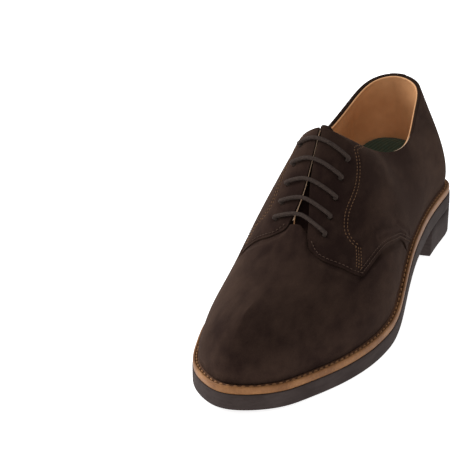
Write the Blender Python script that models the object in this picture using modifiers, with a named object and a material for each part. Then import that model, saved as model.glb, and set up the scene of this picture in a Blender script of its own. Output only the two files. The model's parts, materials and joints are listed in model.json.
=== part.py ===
"""A plain-toe derby shoe of the left foot, suede on a welted rubber sole.

Metres, +Z up. The toe points along -Y, the outer (lateral) side is +X, and the shoe stands on z = 0 with
the origin under the middle of its outline. Lengths along the shoe are written as stations: the distance
forward from the back of the heel. Sizes are worked out in millimetres and scaled by MM.

The upper is one smooth outer surface, upper_point(side, t, v, depth). t runs along the edge where the
upper meets the welt, from the back of the heel (0) to the tip of the toe (1). v climbs from that edge (0)
to the topline or, in front of the throat, to the ridge of the instep (1). Each leather is a patch of that
surface, set in by its own depth.
"""

import bpy
import bmesh
import numpy as np
from mathutils import Matrix, Vector

MM = 0.001
MERGE = 2e-6

# ---- driving dimensions, millimetres ----
LENGTH = 300.0
MIDDLE_STATION = 149.25
SOLE_THICKNESS = 8.8
WELT_HEIGHT = 4.6
HEEL_LIFT = 16.8
TOE_SPRING = 2.8
HEEL_LENGTH = 66.0
TOP_PIECE = 6.0
GAP = 0.35
UPPER_INSET = 3.6
UPPER_THICKNESS = 1.35
MIDDLE_DEPTH = 1.9
LINING_DEPTH = 3.9
LINING_THICKNESS = 1.0
EYELET_HOLE = 1.8
STAY_HOLE = 2.6
LACE_RADIUS = 1.25
LACE_REST = 1.75
LACE_UNDER = 6.6
TONGUE_DEPTH = 8.5
TONGUE_BASE_DEPTH = 5.3
AGLET_LENGTH = 16.0
INSOLE_RISE = WELT_HEIGHT + 0.25
INSOLE_THICKNESS = 2.3
PAD_THICKNESS = 3.0
SOCK_THICKNESS = 1.2
SOCK_LIFT = 3.4
SOCK_CUP = 13.0
CUP_STATION = 27.0
WELT_STITCHES = 72

# Half widths of the sole at stations along the shoe, outer and inner side.
STATIONS = [4, 16, 40, 75, 110, 145, 175, 200, 225, 250, 272, 289]
OUTER_WIDTHS = [15.3, 36.3, 40.0, 40.5, 43.8, 47.8, 51.6, 51.8, 48.0, 39.3, 28.6, 17.4]
INNER_WIDTHS = [14.5, 29.5, 34.8, 34.3, 32.0, 37.2, 45.2, 47.4, 46.0, 41.4, 34.8, 23.6]
TOE_TIP_X = -6.0
MIDDLE_X = 2.2

# The topline, from the throat over the inner side to the heel and back over the outer side:
# (share of the way from heel to throat, negative on the inner side; x; station; height)
TOPLINE = [
    (-1.00, -3.5, 147, 104.5), (-0.94, -13.6, 138, 97.5), (-0.84, -19.0, 118, 85.5),
    (-0.68, -25.0, 90, 75.5), (-0.50, -25.6, 62, 74.0), (-0.32, -22.0, 34, 80.5),
    (-0.15, -14.6, 13, 88.0), (0.00, 0.6, 5.5, 91.0), (0.15, 16.0, 13, 88.6),
    (0.32, 22.0, 34, 82.5), (0.50, 26.2, 62, 75.8), (0.68, 26.8, 90, 75.0),
    (0.84, 20.0, 118, 83.0), (0.94, 10.0, 138, 95.5), (1.00, -3.5, 147, 104.5),
]
THROAT_T = 0.493
THROAT_STATION = 147.0
POLE_STATION = 268.0

# The ridge of the instep and vamp: station, x, height.
RIDGE = [
    (147, -3.5, 104.5), (156, -2.8, 100.2), (168, -2.0, 92.2), (180, -1.0, 82.3), (195, 0.6, 71.0),
    (210, 2.0, 61.8), (228, 2.4, 54.5), (248, 0.4, 49.8), (268, -4.0, 47.4),
]

# How the wall leaves the welt: t, share of its height it rises straight, and its swell, outer and inner.
WALL = [
    (0.00, 0.33, 5.8, 0.33, 5.8), (0.17, 0.31, 4.5, 0.33, 5.0), (0.34, 0.30, 5.2, 0.30, 2.9),
    (0.50, 0.35, 5.0, 0.40, 2.9), (0.66, 0.45, 6.0, 0.36, 1.8), (0.83, 0.55, 5.0, 0.48, 3.0),
    (1.00, 0.60, 4.1, 0.60, 4.1),
]

# The front edge of each quarter as (v, t): from the welt up the side seam, round the corner and up to
# the end of the facing. In front of it lies the vamp.
OUTER_QUARTER_EDGE = [
    (0.000, 0.417), (0.175, 0.476), (0.275, 0.532), (0.363, 0.585), (0.400, 0.625), (0.423, 0.668),
    (0.481, 0.681), (0.575, 0.694), (0.656, 0.705), (0.744, 0.714), (0.838, 0.712), (0.894, 0.699),
    (0.915, 0.680),
]
INNER_QUARTER_EDGE = [
    (0.000, 0.410), (0.175, 0.465), (0.275, 0.515), (0.350, 0.560), (0.385, 0.600), (0.410, 0.641),
    (0.470, 0.650), (0.560, 0.660), (0.656, 0.670), (0.744, 0.679), (0.838, 0.680), (0.894, 0.672),
    (0.915, 0.660),
]
# The edge of a facing along the lacing, as (t, v).
FACING_EDGE = [(0.507, 0.978), (0.530, 0.986), (0.570, 0.984), (0.600, 0.975), (0.635, 0.948), (0.660, 0.926)]
FACING_CORNER = [(0.462, 1.0), (0.478, 0.999), (0.490, 0.983)]

OUTER_EYELETS = [(0.527, 0.755), (0.565, 0.772), (0.600, 0.780), (0.635, 0.787), (0.669, 0.790)]
INNER_EYELETS = [(0.517, 0.795), (0.556, 0.800), (0.590, 0.800), (0.621, 0.792), (0.649, 0.775)]

TONGUE_BASE_T = 0.725
# x and station of each nail in the heel.
NAILS = [(2.0, 22.0), (18.0, 27.0), (-14.0, 27.0), (20.0, 50.0), (-16.0, 50.0)]

OUTER = 1
INNER = -1

# The vamp's hidden rear edge, under the quarters, as (v, t).
VAMP_BACK = {
    OUTER: [(0.00, 0.372), (0.20, 0.435), (0.35, 0.520), (0.45, 0.580), (0.55, 0.635), (0.66, 0.686),
            (0.86, 0.692), (1.00, 0.676)],
    INNER: [(0.00, 0.365), (0.20, 0.425), (0.35, 0.505), (0.45, 0.565), (0.55, 0.615), (0.66, 0.660),
            (0.86, 0.667), (1.00, 0.676)],
}
TOE_T = 0.83
TOE_ROWS = 10
TOE_COLUMNS = 8


# ---- curves and surfaces, millimetres ----

def smoothstep(value):
    value = np.clip(value, 0.0, 1.0)
    return value * value * (3.0 - 2.0 * value)


def spline(knots, values, closed=False):
    """A cubic with continuous curvature through the values, as a function of the knots."""
    knots = np.asarray(knots, float)
    values = np.asarray(values, float).reshape(len(knots), -1)
    count = len(knots)
    step = np.diff(knots)
    matrix = np.zeros((count, count))
    right = np.zeros_like(values)
    for i in range(1, count - 1):
        matrix[i, i - 1:i + 2] = step[i - 1], 2.0 * (step[i - 1] + step[i]), step[i]
        right[i] = 6.0 * ((values[i + 1] - values[i]) / step[i] - (values[i] - values[i - 1]) / step[i - 1])
    if closed:
        matrix[0, 0], matrix[0, -1] = 1.0, -1.0
        matrix[-1, :2] = 2.0 * step[0], step[0]
        matrix[-1, -2:] = step[-1], 2.0 * step[-1]
        right[-1] = 6.0 * ((values[1] - values[0]) / step[0] - (values[-1] - values[-2]) / step[-1])
    else:
        matrix[0, 0] = matrix[-1, -1] = 1.0
    bend = np.linalg.solve(matrix, right)

    def curve(at):
        at = np.asarray(at, float)
        flat = at.ravel()
        i = np.clip(np.searchsorted(knots, flat) - 1, 0, count - 2)
        width = step[i][:, None]
        a = (knots[i + 1] - flat)[:, None] / width
        b = 1.0 - a
        cubic = (a ** 3 - a) * bend[i] + (b ** 3 - b) * bend[i + 1]
        out = a * values[i] + b * values[i + 1] + cubic * width ** 2 / 6.0
        return out.reshape(at.shape + (values.shape[1],))

    return curve


def outline_sides():
    """Both halves of the sole's outline: side -> (share of its length, points, outward normals)."""
    outer = list(zip(OUTER_WIDTHS, STATIONS))
    inner = [(-width, station) for width, station in zip(INNER_WIDTHS, STATIONS)]
    points = np.array([(0.0, 0.0)] + outer + [(TOE_TIP_X, LENGTH)] + inner[::-1] + [(0.0, 0.0)])
    points[:, 0] -= MIDDLE_X
    knots = np.r_[0.0, np.cumsum(np.sqrt(np.linalg.norm(np.diff(points, axis=0), axis=1)))]
    curve = spline(knots, points, closed=True)
    toe = knots[len(outer) + 1]
    sides = {}
    for side, start in ((OUTER, 0.0), (INNER, knots[-1])):
        line = curve(np.linspace(start, toe, 600))
        length = np.r_[0.0, np.cumsum(np.linalg.norm(np.diff(line, axis=0), axis=1))]
        along = np.gradient(line, axis=0)
        along /= np.linalg.norm(along, axis=1)[:, None]
        normal = np.stack([along[:, 1], -along[:, 0]], -1) * side
        sides[side] = (length / length[-1], line, normal)
    return sides


OUTLINE = outline_sides()
TOPLINE_CURVE = spline([row[0] for row in TOPLINE], [row[1:] for row in TOPLINE])
RIDGE_CURVE = spline([row[0] for row in RIDGE], [row[1:] for row in RIDGE])
WALL_CURVE = spline([row[0] for row in WALL], [row[1:] for row in WALL])
QUARTER_EDGE = {OUTER: OUTER_QUARTER_EDGE, INNER: INNER_QUARTER_EDGE}
SIDE_NAME = {OUTER: "lateral", INNER: "medial"}
EYELETS = {OUTER: OUTER_EYELETS, INNER: INNER_EYELETS}


def outline(side, t, inset=0.0):
    """x and station on the sole's outline, and its outward normal, at a distance inside it."""
    share, line, normal = OUTLINE[side]
    at = [np.interp(t, share, column) for column in (*line.T, *normal.T)]
    size = np.hypot(at[2], at[3])
    across, ahead = at[2] / size, at[3] / size
    return at[0] - across * inset, at[1] - ahead * inset, across, ahead


def sole_bottom(station):
    """Height of the outsole's underside: flat at the ball, lifted at the waist, sprung at the toe."""
    ahead = np.clip((station - 240.0) / 60.0, 0.0, None)
    return TOE_SPRING * ahead ** 2 + HEEL_LIFT * smoothstep((195.0 - station) / 85.0)


def ridge_station(t):
    share = np.clip((t - THROAT_T) / (1.0 - THROAT_T), 0.0, 1.0)
    return THROAT_STATION + (POLE_STATION - THROAT_STATION) * (1.25 * share - 0.25 * share ** 3)


def outer_surface(side, t, v):
    """The face of the upper as (x, station, height): a Bezier section from the welt to the top."""
    t, v = np.broadcast_arrays(np.asarray(t, float), np.asarray(v, float))
    x, station, out_x, out_s = outline(side, t, UPPER_INSET)
    foot = np.stack([x, station, sole_bottom(station) + SOLE_THICKNESS + WELT_HEIGHT], -1)
    share = np.clip(t / THROAT_T, 0.0, 1.0)
    on_topline = TOPLINE_CURVE(share * side)
    ridge_at = ridge_station(t)
    on_ridge = np.insert(RIDGE_CURVE(ridge_at), 1, ridge_at, axis=-1)
    behind = (t <= THROAT_T)[..., None]
    top = np.where(behind, on_topline, on_ridge)
    top = top - np.array([MIDDLE_X, 0.0, 0.0])
    slope = RIDGE_CURVE(ridge_at + 0.5)[..., 1] - RIDGE_CURVE(ridge_at - 0.5)[..., 1]
    flat = (foot - top)[..., :2]
    reach = np.maximum(np.linalg.norm(flat, axis=-1), 1e-6)
    height = top[..., 2] - foot[..., 2]
    over = smoothstep((share - 0.62) / 0.38)
    straight_out = np.stack([out_x, out_s], -1)
    away = straight_out * (1.0 - over)[..., None] + flat / reach[..., None] * over[..., None]
    pull = (1.0 - over) * 6.1 + over * 0.485 * reach
    drop = np.where(behind[..., 0], -(1.0 - over) * 0.21 * height, away[..., 1] * pull * slope)
    high = top + np.concatenate([away * pull[..., None], drop[..., None]], -1)
    wall = WALL_CURVE(t)
    rise, swell = (wall[..., 0], wall[..., 1]) if side == OUTER else (wall[..., 2], wall[..., 3])
    low = foot + np.stack([out_x * swell, out_s * swell, rise * height], -1)
    v = v[..., None]
    return (1 - v) ** 3 * foot + 3 * (1 - v) ** 2 * v * low + 3 * (1 - v) * v * v * high + v ** 3 * top


def outer_normal(side, t, v):
    step = 0.002
    t = np.clip(t, step, 1.0 - step)
    v = np.clip(v, step, 1.0 - step)
    along = outer_surface(side, t + step, v) - outer_surface(side, t - step, v)
    up = outer_surface(side, t, v + step) - outer_surface(side, t, v - step)
    normal = np.cross(along, up) * side
    return normal / np.linalg.norm(normal, axis=-1)[..., None]


def to_world(points):
    """(x, station, height) in millimetres to world metres."""
    points = np.asarray(points, float)
    return np.stack([points[..., 0], MIDDLE_STATION - points[..., 1], points[..., 2]], -1) * MM


def upper_point(side, t, v, depth=0.0):
    """A point of the upper, set in from its face by depth, in (x, station, height)."""
    t, v = np.broadcast_arrays(np.asarray(t, float), np.asarray(v, float))
    depth = np.asarray(depth, float)
    normal = outer_normal(side, t, v)
    at = ridge_station(t)
    slope = RIDGE_CURVE(at + 0.5)[..., 1] - RIDGE_CURVE(at - 0.5)[..., 1]
    over_ridge = np.stack([np.zeros_like(slope), -slope, np.ones_like(slope)], -1)
    over_ridge /= np.linalg.norm(over_ridge, axis=-1)[..., None]
    normal = np.where(((v > 0.9985) & (t > THROAT_T))[..., None], over_ridge, normal)
    normal[..., 0] = np.where(t < 0.0005, 0.0, normal[..., 0])
    normal /= np.linalg.norm(normal, axis=-1)[..., None]
    return outer_surface(side, t, v) - normal * depth[..., None]


# ---- mesh helpers ----

def material(name, colour, roughness, metallic=0.0):
    made = bpy.data.materials.new(name)
    made.use_nodes = True
    shader = made.node_tree.nodes["Principled BSDF"]
    shader.inputs["Base Color"].default_value = (*colour, 1.0)
    shader.inputs["Roughness"].default_value = roughness
    shader.inputs["Metallic"].default_value = metallic
    return made


def add_object(name, mesh, finish, parent, collection):
    part = bpy.data.objects.new(name, mesh)
    part.data.materials.append(finish)
    part.parent = parent
    if parent.location.length > 0.0:
        part.matrix_parent_inverse = Matrix.Translation(parent.location).inverted()
    collection.objects.link(part)
    return part


def finished_mesh(name, build):
    """A mesh from a bmesh: doubles welded, faces pointing out, smooth but for sharp edges."""
    bmesh.ops.remove_doubles(build, verts=build.verts, dist=MERGE)
    bmesh.ops.recalc_face_normals(build, faces=build.faces)
    mesh = bpy.data.meshes.new(name)
    build.to_mesh(mesh)
    build.free()
    mesh.shade_smooth()
    mesh.set_sharp_from_angle(angle=0.7)
    return mesh


def sheet_faces(build, grid, cyclic=False):
    """Quads over a grid of world points, rows by columns; the rows close up when cyclic."""
    rows, columns = grid.shape[:2]
    verts = [[build.verts.new(point) for point in row] for row in grid]
    for i in range(rows if cyclic else rows - 1):
        for j in range(columns - 1):
            k = (i + 1) % rows
            build.faces.new((verts[i][j], verts[k][j], verts[k][j + 1], verts[i][j + 1]))
    return verts


def shell(name, grid):
    """The outer face of a leather, facing out of the shoe. Solidify gives it its thickness inward."""
    build = bmesh.new()
    sheet_faces(build, to_world(grid))
    bmesh.ops.remove_doubles(build, verts=build.verts, dist=MERGE)
    bmesh.ops.recalc_face_normals(build, faces=build.faces)
    build.normal_update()
    middle = Vector((0.0, 0.0, 0.030))
    facing = sum(face.normal.dot(face.calc_center_median() - middle) for face in build.faces)
    if facing < 0.0:
        bmesh.ops.reverse_faces(build, faces=build.faces)
    mesh = bpy.data.meshes.new(name)
    build.to_mesh(mesh)
    build.free()
    mesh.shade_smooth()
    return mesh


def loft(name, top, bottom, cyclic=False):
    """A closed body between a top and a bottom grid of (x, station, height)."""
    build = bmesh.new()
    rows, columns = top.shape[:2]
    upper = sheet_faces(build, to_world(top), cyclic)
    lower = sheet_faces(build, to_world(bottom), cyclic)
    count = rows if cyclic else rows - 1
    for i in range(count):
        k = (i + 1) % rows
        for j in (0, columns - 1):
            build.faces.new((upper[i][j], upper[k][j], lower[k][j], lower[i][j]))
    if not cyclic:
        for i in (0, rows - 1):
            for j in range(columns - 1):
                build.faces.new((upper[i][j], upper[i][j + 1], lower[i][j + 1], lower[i][j]))
    bmesh.ops.remove_doubles(build, verts=build.verts, dist=MERGE)
    bmesh.ops.dissolve_degenerate(build, edges=build.edges, dist=MERGE)
    return finished_mesh(name, build)


def slab(name, inset, start, end, low, high, rows=24, columns=3, low_inset=None):
    """A layer of the bottom: the outline set in, between two heights that follow the station."""
    t = start + (end - start) * (1.0 - np.cos(np.pi * np.linspace(0.0, 1.0, rows + 1))) / 2.0
    across = np.linspace(0.0, 1.0, columns + 1)
    grids = []
    for height, distance in ((high, inset), (low, inset if low_inset is None else low_inset)):
        outer = np.stack(outline(OUTER, t, distance)[:2], -1)[:, None]
        inner = np.stack(outline(INNER, t, distance)[:2], -1)[:, None]
        flat = outer + (inner - outer) * across[None, :, None]
        if start == 0.0:
            flat[0] = flat[0].mean(axis=0)
        if end == 1.0:
            flat[-1] = flat[-1].mean(axis=0)
        grids.append(np.concatenate([flat, height(flat[..., 1])[..., None]], -1))
    return loft(name, grids[0], grids[1])


def ring(name, outside, inside, low, high, steps=38):
    """A strip that runs all round the outline, between two insets and two heights."""
    forward = np.linspace(0.0, 1.0, steps, endpoint=False)
    rows = [(OUTER, t) for t in forward] + [(INNER, 1.0 - t) for t in forward]
    grids = []
    for height in (high, low):
        grid = []
        for side, t in rows:
            spots = [outline(side, t, inset)[:2] for inset in (outside, inside)]
            grid.append([(x, station, height(station)) for x, station in spots])
        grids.append(np.array(grid))
    return loft(name, grids[0], grids[1], cyclic=True)


def tube(name, points, radius, sides=2, cyclic=False):
    """A round cord along world points, as a bevelled curve."""
    curve = bpy.data.curves.new(name, "CURVE")
    curve.dimensions = "3D"
    curve.bevel_depth = radius * MM
    curve.bevel_resolution = sides
    curve.use_fill_caps = not cyclic
    line = curve.splines.new("POLY")
    line.points.add(len(points) - 1)
    for point, place in zip(line.points, points):
        point.co = (*place, 1.0)
    line.use_cyclic_u = cyclic
    return curve


def pin_cutter(name, start, end, radius, collection, sides=12):
    """A hidden cylinder between two world points, which cuts a hole."""
    start, end = Vector(start), Vector(end)
    build = bmesh.new()
    turn = (end - start).to_track_quat("Z", "Y").to_matrix().to_4x4()
    place = Matrix.Translation((start + end) / 2) @ turn
    bmesh.ops.create_cone(build, cap_ends=True, segments=sides, radius1=radius * MM, radius2=radius * MM,
                          depth=(end - start).length, matrix=place)
    mesh = bpy.data.meshes.new(name)
    build.to_mesh(mesh)
    build.free()
    cutter = bpy.data.objects.new(name, mesh)
    cutter.hide_render = True
    cutter.display_type = "WIRE"
    collection.objects.link(cutter)
    return cutter


def cut(part, cutter):
    modifier = part.modifiers.new(cutter.name, "BOOLEAN")
    modifier.operation = "DIFFERENCE"
    modifier.solver = "EXACT"
    modifier.object = cutter


def turned(name, profile, place, sides=12):
    """A body turned about its own Z from a closed line of (radius, height) points, placed by a matrix."""
    build = bmesh.new()
    rows = []
    for angle in np.linspace(0.0, 2.0 * np.pi, sides, endpoint=False):
        across, along = np.cos(angle) * MM, np.sin(angle) * MM
        rows.append([build.verts.new(place @ Vector((r * across, r * along, h * MM))) for r, h in profile])
    count = len(profile)
    for k in range(sides):
        for j in range(count):
            a, b = rows[k], rows[(k + 1) % sides]
            build.faces.new((a[j], b[j], b[(j + 1) % count], a[(j + 1) % count]))
    return finished_mesh(name, build)


# ---- patches of the upper ----

def coons(bottom, top, front, columns, rows, back_t=0.0):
    """(t, v) over a patch between a bottom and a top line, its back at back_t and its front line."""
    u = np.linspace(0.0, 1.0, columns + 1)
    w = np.linspace(0.0, 1.0, rows + 1)
    low, high, end = bottom(u), top(u), front(w)
    start = np.stack([np.full_like(w, back_t), w], -1)
    u, w = u[:, None, None], w[None, :, None]
    ruled = (1 - w) * low[:, None] + w * high[:, None]
    ends = (1 - u) * start[None] + u * end[None]
    low_corners = (1 - u) * start[0] + u * end[0]
    high_corners = (1 - u) * start[-1] + u * end[-1]
    return ruled + ends - (1 - w) * low_corners - w * high_corners


def line_through(points):
    points = np.array(points, float)
    knots = np.r_[0.0, np.cumsum(np.linalg.norm(np.diff(points, axis=0), axis=1))]
    return spline(knots / knots[-1], points)


def facing_top(back_t, end):
    """Topline from the heel, round the facing's corner and down the facing to its end."""
    heel = [(back_t + (FACING_CORNER[0][0] - back_t) * k / 6, 1.0) for k in range(6)]
    return line_through(heel + FACING_CORNER + FACING_EDGE[:-1] + [end])


def quarter_patch(side, columns=28, rows=8, back_t=0.0016):
    edge = QUARTER_EDGE[side]
    seam = [(t, v) for v, t in edge[:6]]
    welt = [(back_t + (seam[0][0] - back_t) * k / 5, 0.0) for k in range(5)]
    bottom = line_through(welt + seam)
    front = line_through([(t, v) for v, t in edge[5:]])
    top = facing_top(back_t, edge[-1][::-1])
    return coons(bottom, top, front, columns, rows, back_t)


def lining_patch(columns=25, rows=8):
    bottom = line_through([(0.60 * k / 6, 0.0) for k in range(7)])
    top = facing_top(0.0, (0.682, 0.910))
    front = line_through([(0.600, 0.0), (0.632, 0.45), (0.672, 0.64), (0.682, 0.91)])
    return coons(bottom, top, front, columns, rows)


def quarter_front(side, v):
    rows = QUARTER_EDGE[side] + [(1.0, 0.655)]
    return np.interp(v, [row[0] for row in rows], [row[1] for row in rows])


def edge_rise(t, w):
    """How far the lining comes up to the suede beside the topline and the facing's edge."""
    return 1.7 * smoothstep((w - 0.87) / 0.10) * smoothstep((0.645 - t) / 0.035)


def height_lines(rows):
    """v for the rows that every layer of the toe shares, closer together where the toe rolls over."""
    w = np.linspace(0.0, 1.0, rows + 1)
    return 0.65 * w + 0.35 * (1.0 - np.cos(w * np.pi / 2))


def toe_lines(start, before, within):
    """t from a layer's own edge to the toe's layers, then evenly round to the tip."""
    behind = np.linspace(start, TOE_T, before + 1)[:-1] if before else []
    return np.concatenate([behind, np.linspace(TOE_T, 1.0, within + 1)])


def round_the_toe(point_rows):
    """Joins outer and inner halves at the tip and over the ridge."""
    grid = []
    for outer, inner in point_rows:
        outer[-1] = inner[-1] = (outer[-1] + inner[-1]) / 2
        grid.append(np.concatenate([outer, inner[-2::-1]]))
    grid = np.array(grid)
    grid[-1] = (grid[-1] + grid[-1, ::-1]) / 2
    return grid


def vamp_grid():
    """The vamp, round the toe: each row runs at one v from the outer side round to the inner side."""
    rows = []
    for v in height_lines(TOE_ROWS):
        halves = []
        for side in (OUTER, INNER):
            back = np.interp(v, *zip(*VAMP_BACK[side]))
            t = toe_lines(back, 11, TOE_COLUMNS)
            under = 1.0 - smoothstep((t - quarter_front(side, v) - 0.010) / 0.060)
            halves.append(upper_point(side, t, v, MIDDLE_DEPTH * under))
        rows.append(halves)
    return round_the_toe(rows)


def toe_grid(start, depth, v_low, before):
    """A layer round the toe from t = start(v) on both sides, closed over the ridge."""
    rows = []
    for v in height_lines(TOE_ROWS):
        t = toe_lines(start(v), before, TOE_COLUMNS)
        v = max(v, v_low)
        rows.append([upper_point(side, t, v, depth) for side in (OUTER, INNER)])
    return round_the_toe(rows)


def lining_start(v):
    """Where the vamp lining meets the quarter lining."""
    return np.interp(v, [0.0, 0.45, 0.64, 1.0], [0.607, 0.639, 0.682, 0.692])


def round_the_heel(halves):
    """Joins an outer and an inner half, each starting at the back of the heel."""
    outer, inner = halves
    outer[0] = inner[0] = (outer[0] + inner[0]) / 2
    return np.concatenate([inner[::-1], outer[1:]])


def lining_grid():
    """The quarter lining, one piece from facing to facing round the heel."""
    patch = lining_patch()
    w = np.broadcast_to(np.linspace(0.0, 1.0, patch.shape[1]), patch.shape[:2])
    depth = LINING_DEPTH - edge_rise(patch[..., 0], w)
    return round_the_heel([upper_point(side, patch[..., 0], patch[..., 1], depth) for side in (OUTER, INNER)])


def counter_grid(columns=12, rows=5):
    t = np.linspace(0.0, 0.30, columns + 1)
    halves = []
    for side in (OUTER, INNER):
        grid = []
        for one_t in t:
            reach = 0.72 - 0.30 * smoothstep((one_t - 0.12) / 0.18)
            v = np.linspace(0.012, reach, rows + 1)
            grid.append(upper_point(side, one_t, v, MIDDLE_DEPTH + 0.15))
        halves.append(np.array(grid))
    return round_the_heel(halves)


def backstay_grid(rows=11):
    t = np.array([0.030, 0.020, 0.010, 0.0])
    v = np.linspace(0.02, 0.975, rows + 1)
    halves = []
    for side in (OUTER, INNER):
        width = 0.62 + 0.38 * smoothstep((0.85 - v) / 0.5)
        halves.append(np.array([upper_point(side, one_t * width, v, -1.5) for one_t in t]))
    middle = (halves[0][-1] + halves[1][-1]) / 2
    halves[0][-1] = halves[1][-1] = middle
    return np.concatenate([halves[0], halves[1][-2::-1]])


def stay_grid(side, rows=11):
    """The tape behind the eyelets of one facing."""
    eyelets = EYELETS[side]
    t = np.linspace(eyelets[0][0] - 0.016, eyelets[-1][0] - 0.004, rows + 1)
    middle = np.interp(t, [e[0] for e in eyelets], [e[1] for e in eyelets])
    across = np.linspace(-0.085, 0.085, 4)
    return upper_point(side, t[:, None], middle[:, None] + across, MIDDLE_DEPTH - 0.02)


def tongue_rows():
    """(t, half width as a share of v, depth) from the top of the tongue to its sewn base."""
    t = np.linspace(0.500, TONGUE_BASE_T, 12)
    width = 0.20 + 0.13 * smoothstep((0.70 - t) / 0.18)
    depth = TONGUE_DEPTH - (TONGUE_DEPTH - TONGUE_BASE_DEPTH) * smoothstep((t - 0.680) / 0.040)
    return t, width, depth


def tongue_grid(extra, inset):
    """The tongue under the lacing; above the throat it runs on along the ridge's slope."""
    t, width, depth = tongue_rows()
    grid = []
    for one_t, half, d in zip(t, width - inset, depth + extra):
        v = 1.0 - half * np.linspace(1.0, 0.0, 5)
        left = upper_point(OUTER, one_t, v, d)
        right = upper_point(INNER, one_t, v, d)
        left[-1] = right[-1] = (left[-1] + right[-1]) / 2
        grid.append(np.concatenate([left, right[-2::-1]]))
    grid = np.array(grid)
    step = grid[0] - grid[1]
    step = step.mean(axis=0) / np.linalg.norm(step.mean(axis=0))
    above = [grid[0] + step * rise for rise in (6.0 - inset * 30, 3.0)]
    return np.concatenate([np.array(above), grid])


# ---- the lace ----

def eyelet(side, number, depth):
    t, v = EYELETS[side][number - 1]
    return upper_point(side, t, v, depth)


def through(side, number, outward):
    """Points of the lace straight through an eyelet, inward or outward."""
    depths = [LACE_UNDER, 4.7, -0.9, -LACE_REST]
    points = [eyelet(side, number, depth) for depth in depths]
    return points if outward else points[::-1]


def bar(side, number):
    """The straight bar over the facings from one eyelet to its opposite."""
    t0, v0 = EYELETS[side][number - 1]
    t1, v1 = EYELETS[-side][number - 1]
    points = []
    for share in (0.25, 0.5, 0.75):
        half = side if share < 0.5 else -side
        v = v0 + (1.0 - v0) * share * 2 if share < 0.5 else 1.0 - (1.0 - v1) * (share * 2 - 1)
        points.append(upper_point(half, t0 + (t1 - t0) * share, min(v, 0.998), -LACE_REST))
    return points


def under(side, start, end, shift):
    """The run of lace behind a facing from one eyelet to another, shifted across to pass the rest."""
    t0, v0 = EYELETS[side][start - 1]
    t1, v1 = EYELETS[side][end - 1]
    return [upper_point(side, t0 + (t1 - t0) * share, v0 + (v1 - v0) * share + shift, LACE_UNDER)
            for share in (0.3, 0.7)]


def tail(side, number, end):
    """A loose end: between lining and tongue, down the wall and forward beside the insole."""
    t0, v0 = EYELETS[side][number - 1]
    route = [(t0 + 0.004, v0 - 0.09), (0.655, 0.56), (0.672, 0.44), (0.695, 0.32), (0.728, 0.23),
             (0.77, 0.185), (0.82, 0.175), (0.865, 0.18), (0.905, 0.19), (0.945, 0.20)]
    route = [(t, v) for t, v in route if t <= end]
    inward = [LACE_UNDER + 0.3] * (len(route) - 2) + [LACE_UNDER + 1.5, LACE_UNDER + 5.0]
    return [upper_point(side, t, v, depth) for (t, v), depth in zip(route, inward)]


def lace_route():
    """The whole lace, as points of (x, station, height), from one tucked end to the other."""
    route = tail(INNER, 4, 0.91)[::-1]
    route += through(INNER, 4, True) + bar(INNER, 4) + through(OUTER, 4, False)
    route += under(OUTER, 4, 2, 0.034)
    route += through(OUTER, 2, True) + bar(OUTER, 2) + through(INNER, 2, False)
    route += under(INNER, 2, 1, 0.0)
    route += through(INNER, 1, True) + bar(INNER, 1) + through(OUTER, 1, False)
    route += under(OUTER, 1, 3, -0.034)
    route += through(OUTER, 3, True) + bar(OUTER, 3) + through(INNER, 3, False)
    route += under(INNER, 3, 5, 0.034)
    route += through(INNER, 5, True) + bar(INNER, 5) + through(OUTER, 5, False)
    route += tail(OUTER, 5, 0.87)
    return np.array(route)


# ---- the shoe ----

def level(height):
    """A flat height, for slab and ring."""
    return lambda station: np.zeros_like(station) + height


def above_sole(rise, lift=0.0, cup=0.0):
    """A height that follows the sole's top, lifted over the heel and cupped up at its very back."""
    def height(station):
        raised = lift * smoothstep((92.0 - station) / 14.0)
        cupped = cup * smoothstep((CUP_STATION - station) / 17.0)
        return sole_bottom(station) + SOLE_THICKNESS + rise + raised + cupped
    return height


def set_nail(number, x, station, solid, holed, finish, cutters):
    """A nail down through the outsole into the heel, and its hole in both."""
    head = to_world((x - MIDDLE_X, station, above_sole(GAP)(station)))
    profile = [(0.0, -16.0), (1.0, -14.5), (1.0, 0.0), (2.2, 0.0), (2.2, 0.9), (0.0, 0.9)]
    name = f"heel_nail_{number}"
    solid(name, turned(name, profile, Matrix.Translation(head), sides=10), finish)
    top = head + np.array([0.0, 0.0, 4.0]) * MM
    low = head - np.array([0.0, 0.0, 16.6]) * MM
    cutter = pin_cutter(f"nail_hole_{number}", low, top, 1.5, cutters)
    for part in holed:
        cut(part, cutter)


def set_eyelet(side, number, solid, holed, finish, cutters):
    """A blind eyelet behind the facing, and its hole through each leather in holed, by radius."""
    face = Vector(to_world(eyelet(side, number, 0.0)))
    inside = Vector(to_world(eyelet(side, number, 5.6)))
    outward = (face - inside).normalized()
    place = Matrix.Translation(face) @ outward.to_track_quat("Z", "Y").to_matrix().to_4x4()
    profile = [(1.8, -1.85), (2.25, -1.85), (2.25, -2.95), (3.5, -2.95), (3.5, -3.35), (1.8, -3.35)]
    name = f"{SIDE_NAME[side]}_{number}"
    solid(f"eyelet_{name}", turned(f"eyelet_{name}", profile, place), finish)
    reach = face + outward * 4.0 * MM
    for part, radius in holed:
        cut(part, pin_cutter(f"hole_{part.name}_{name}", inside, reach, radius, cutters))


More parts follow.
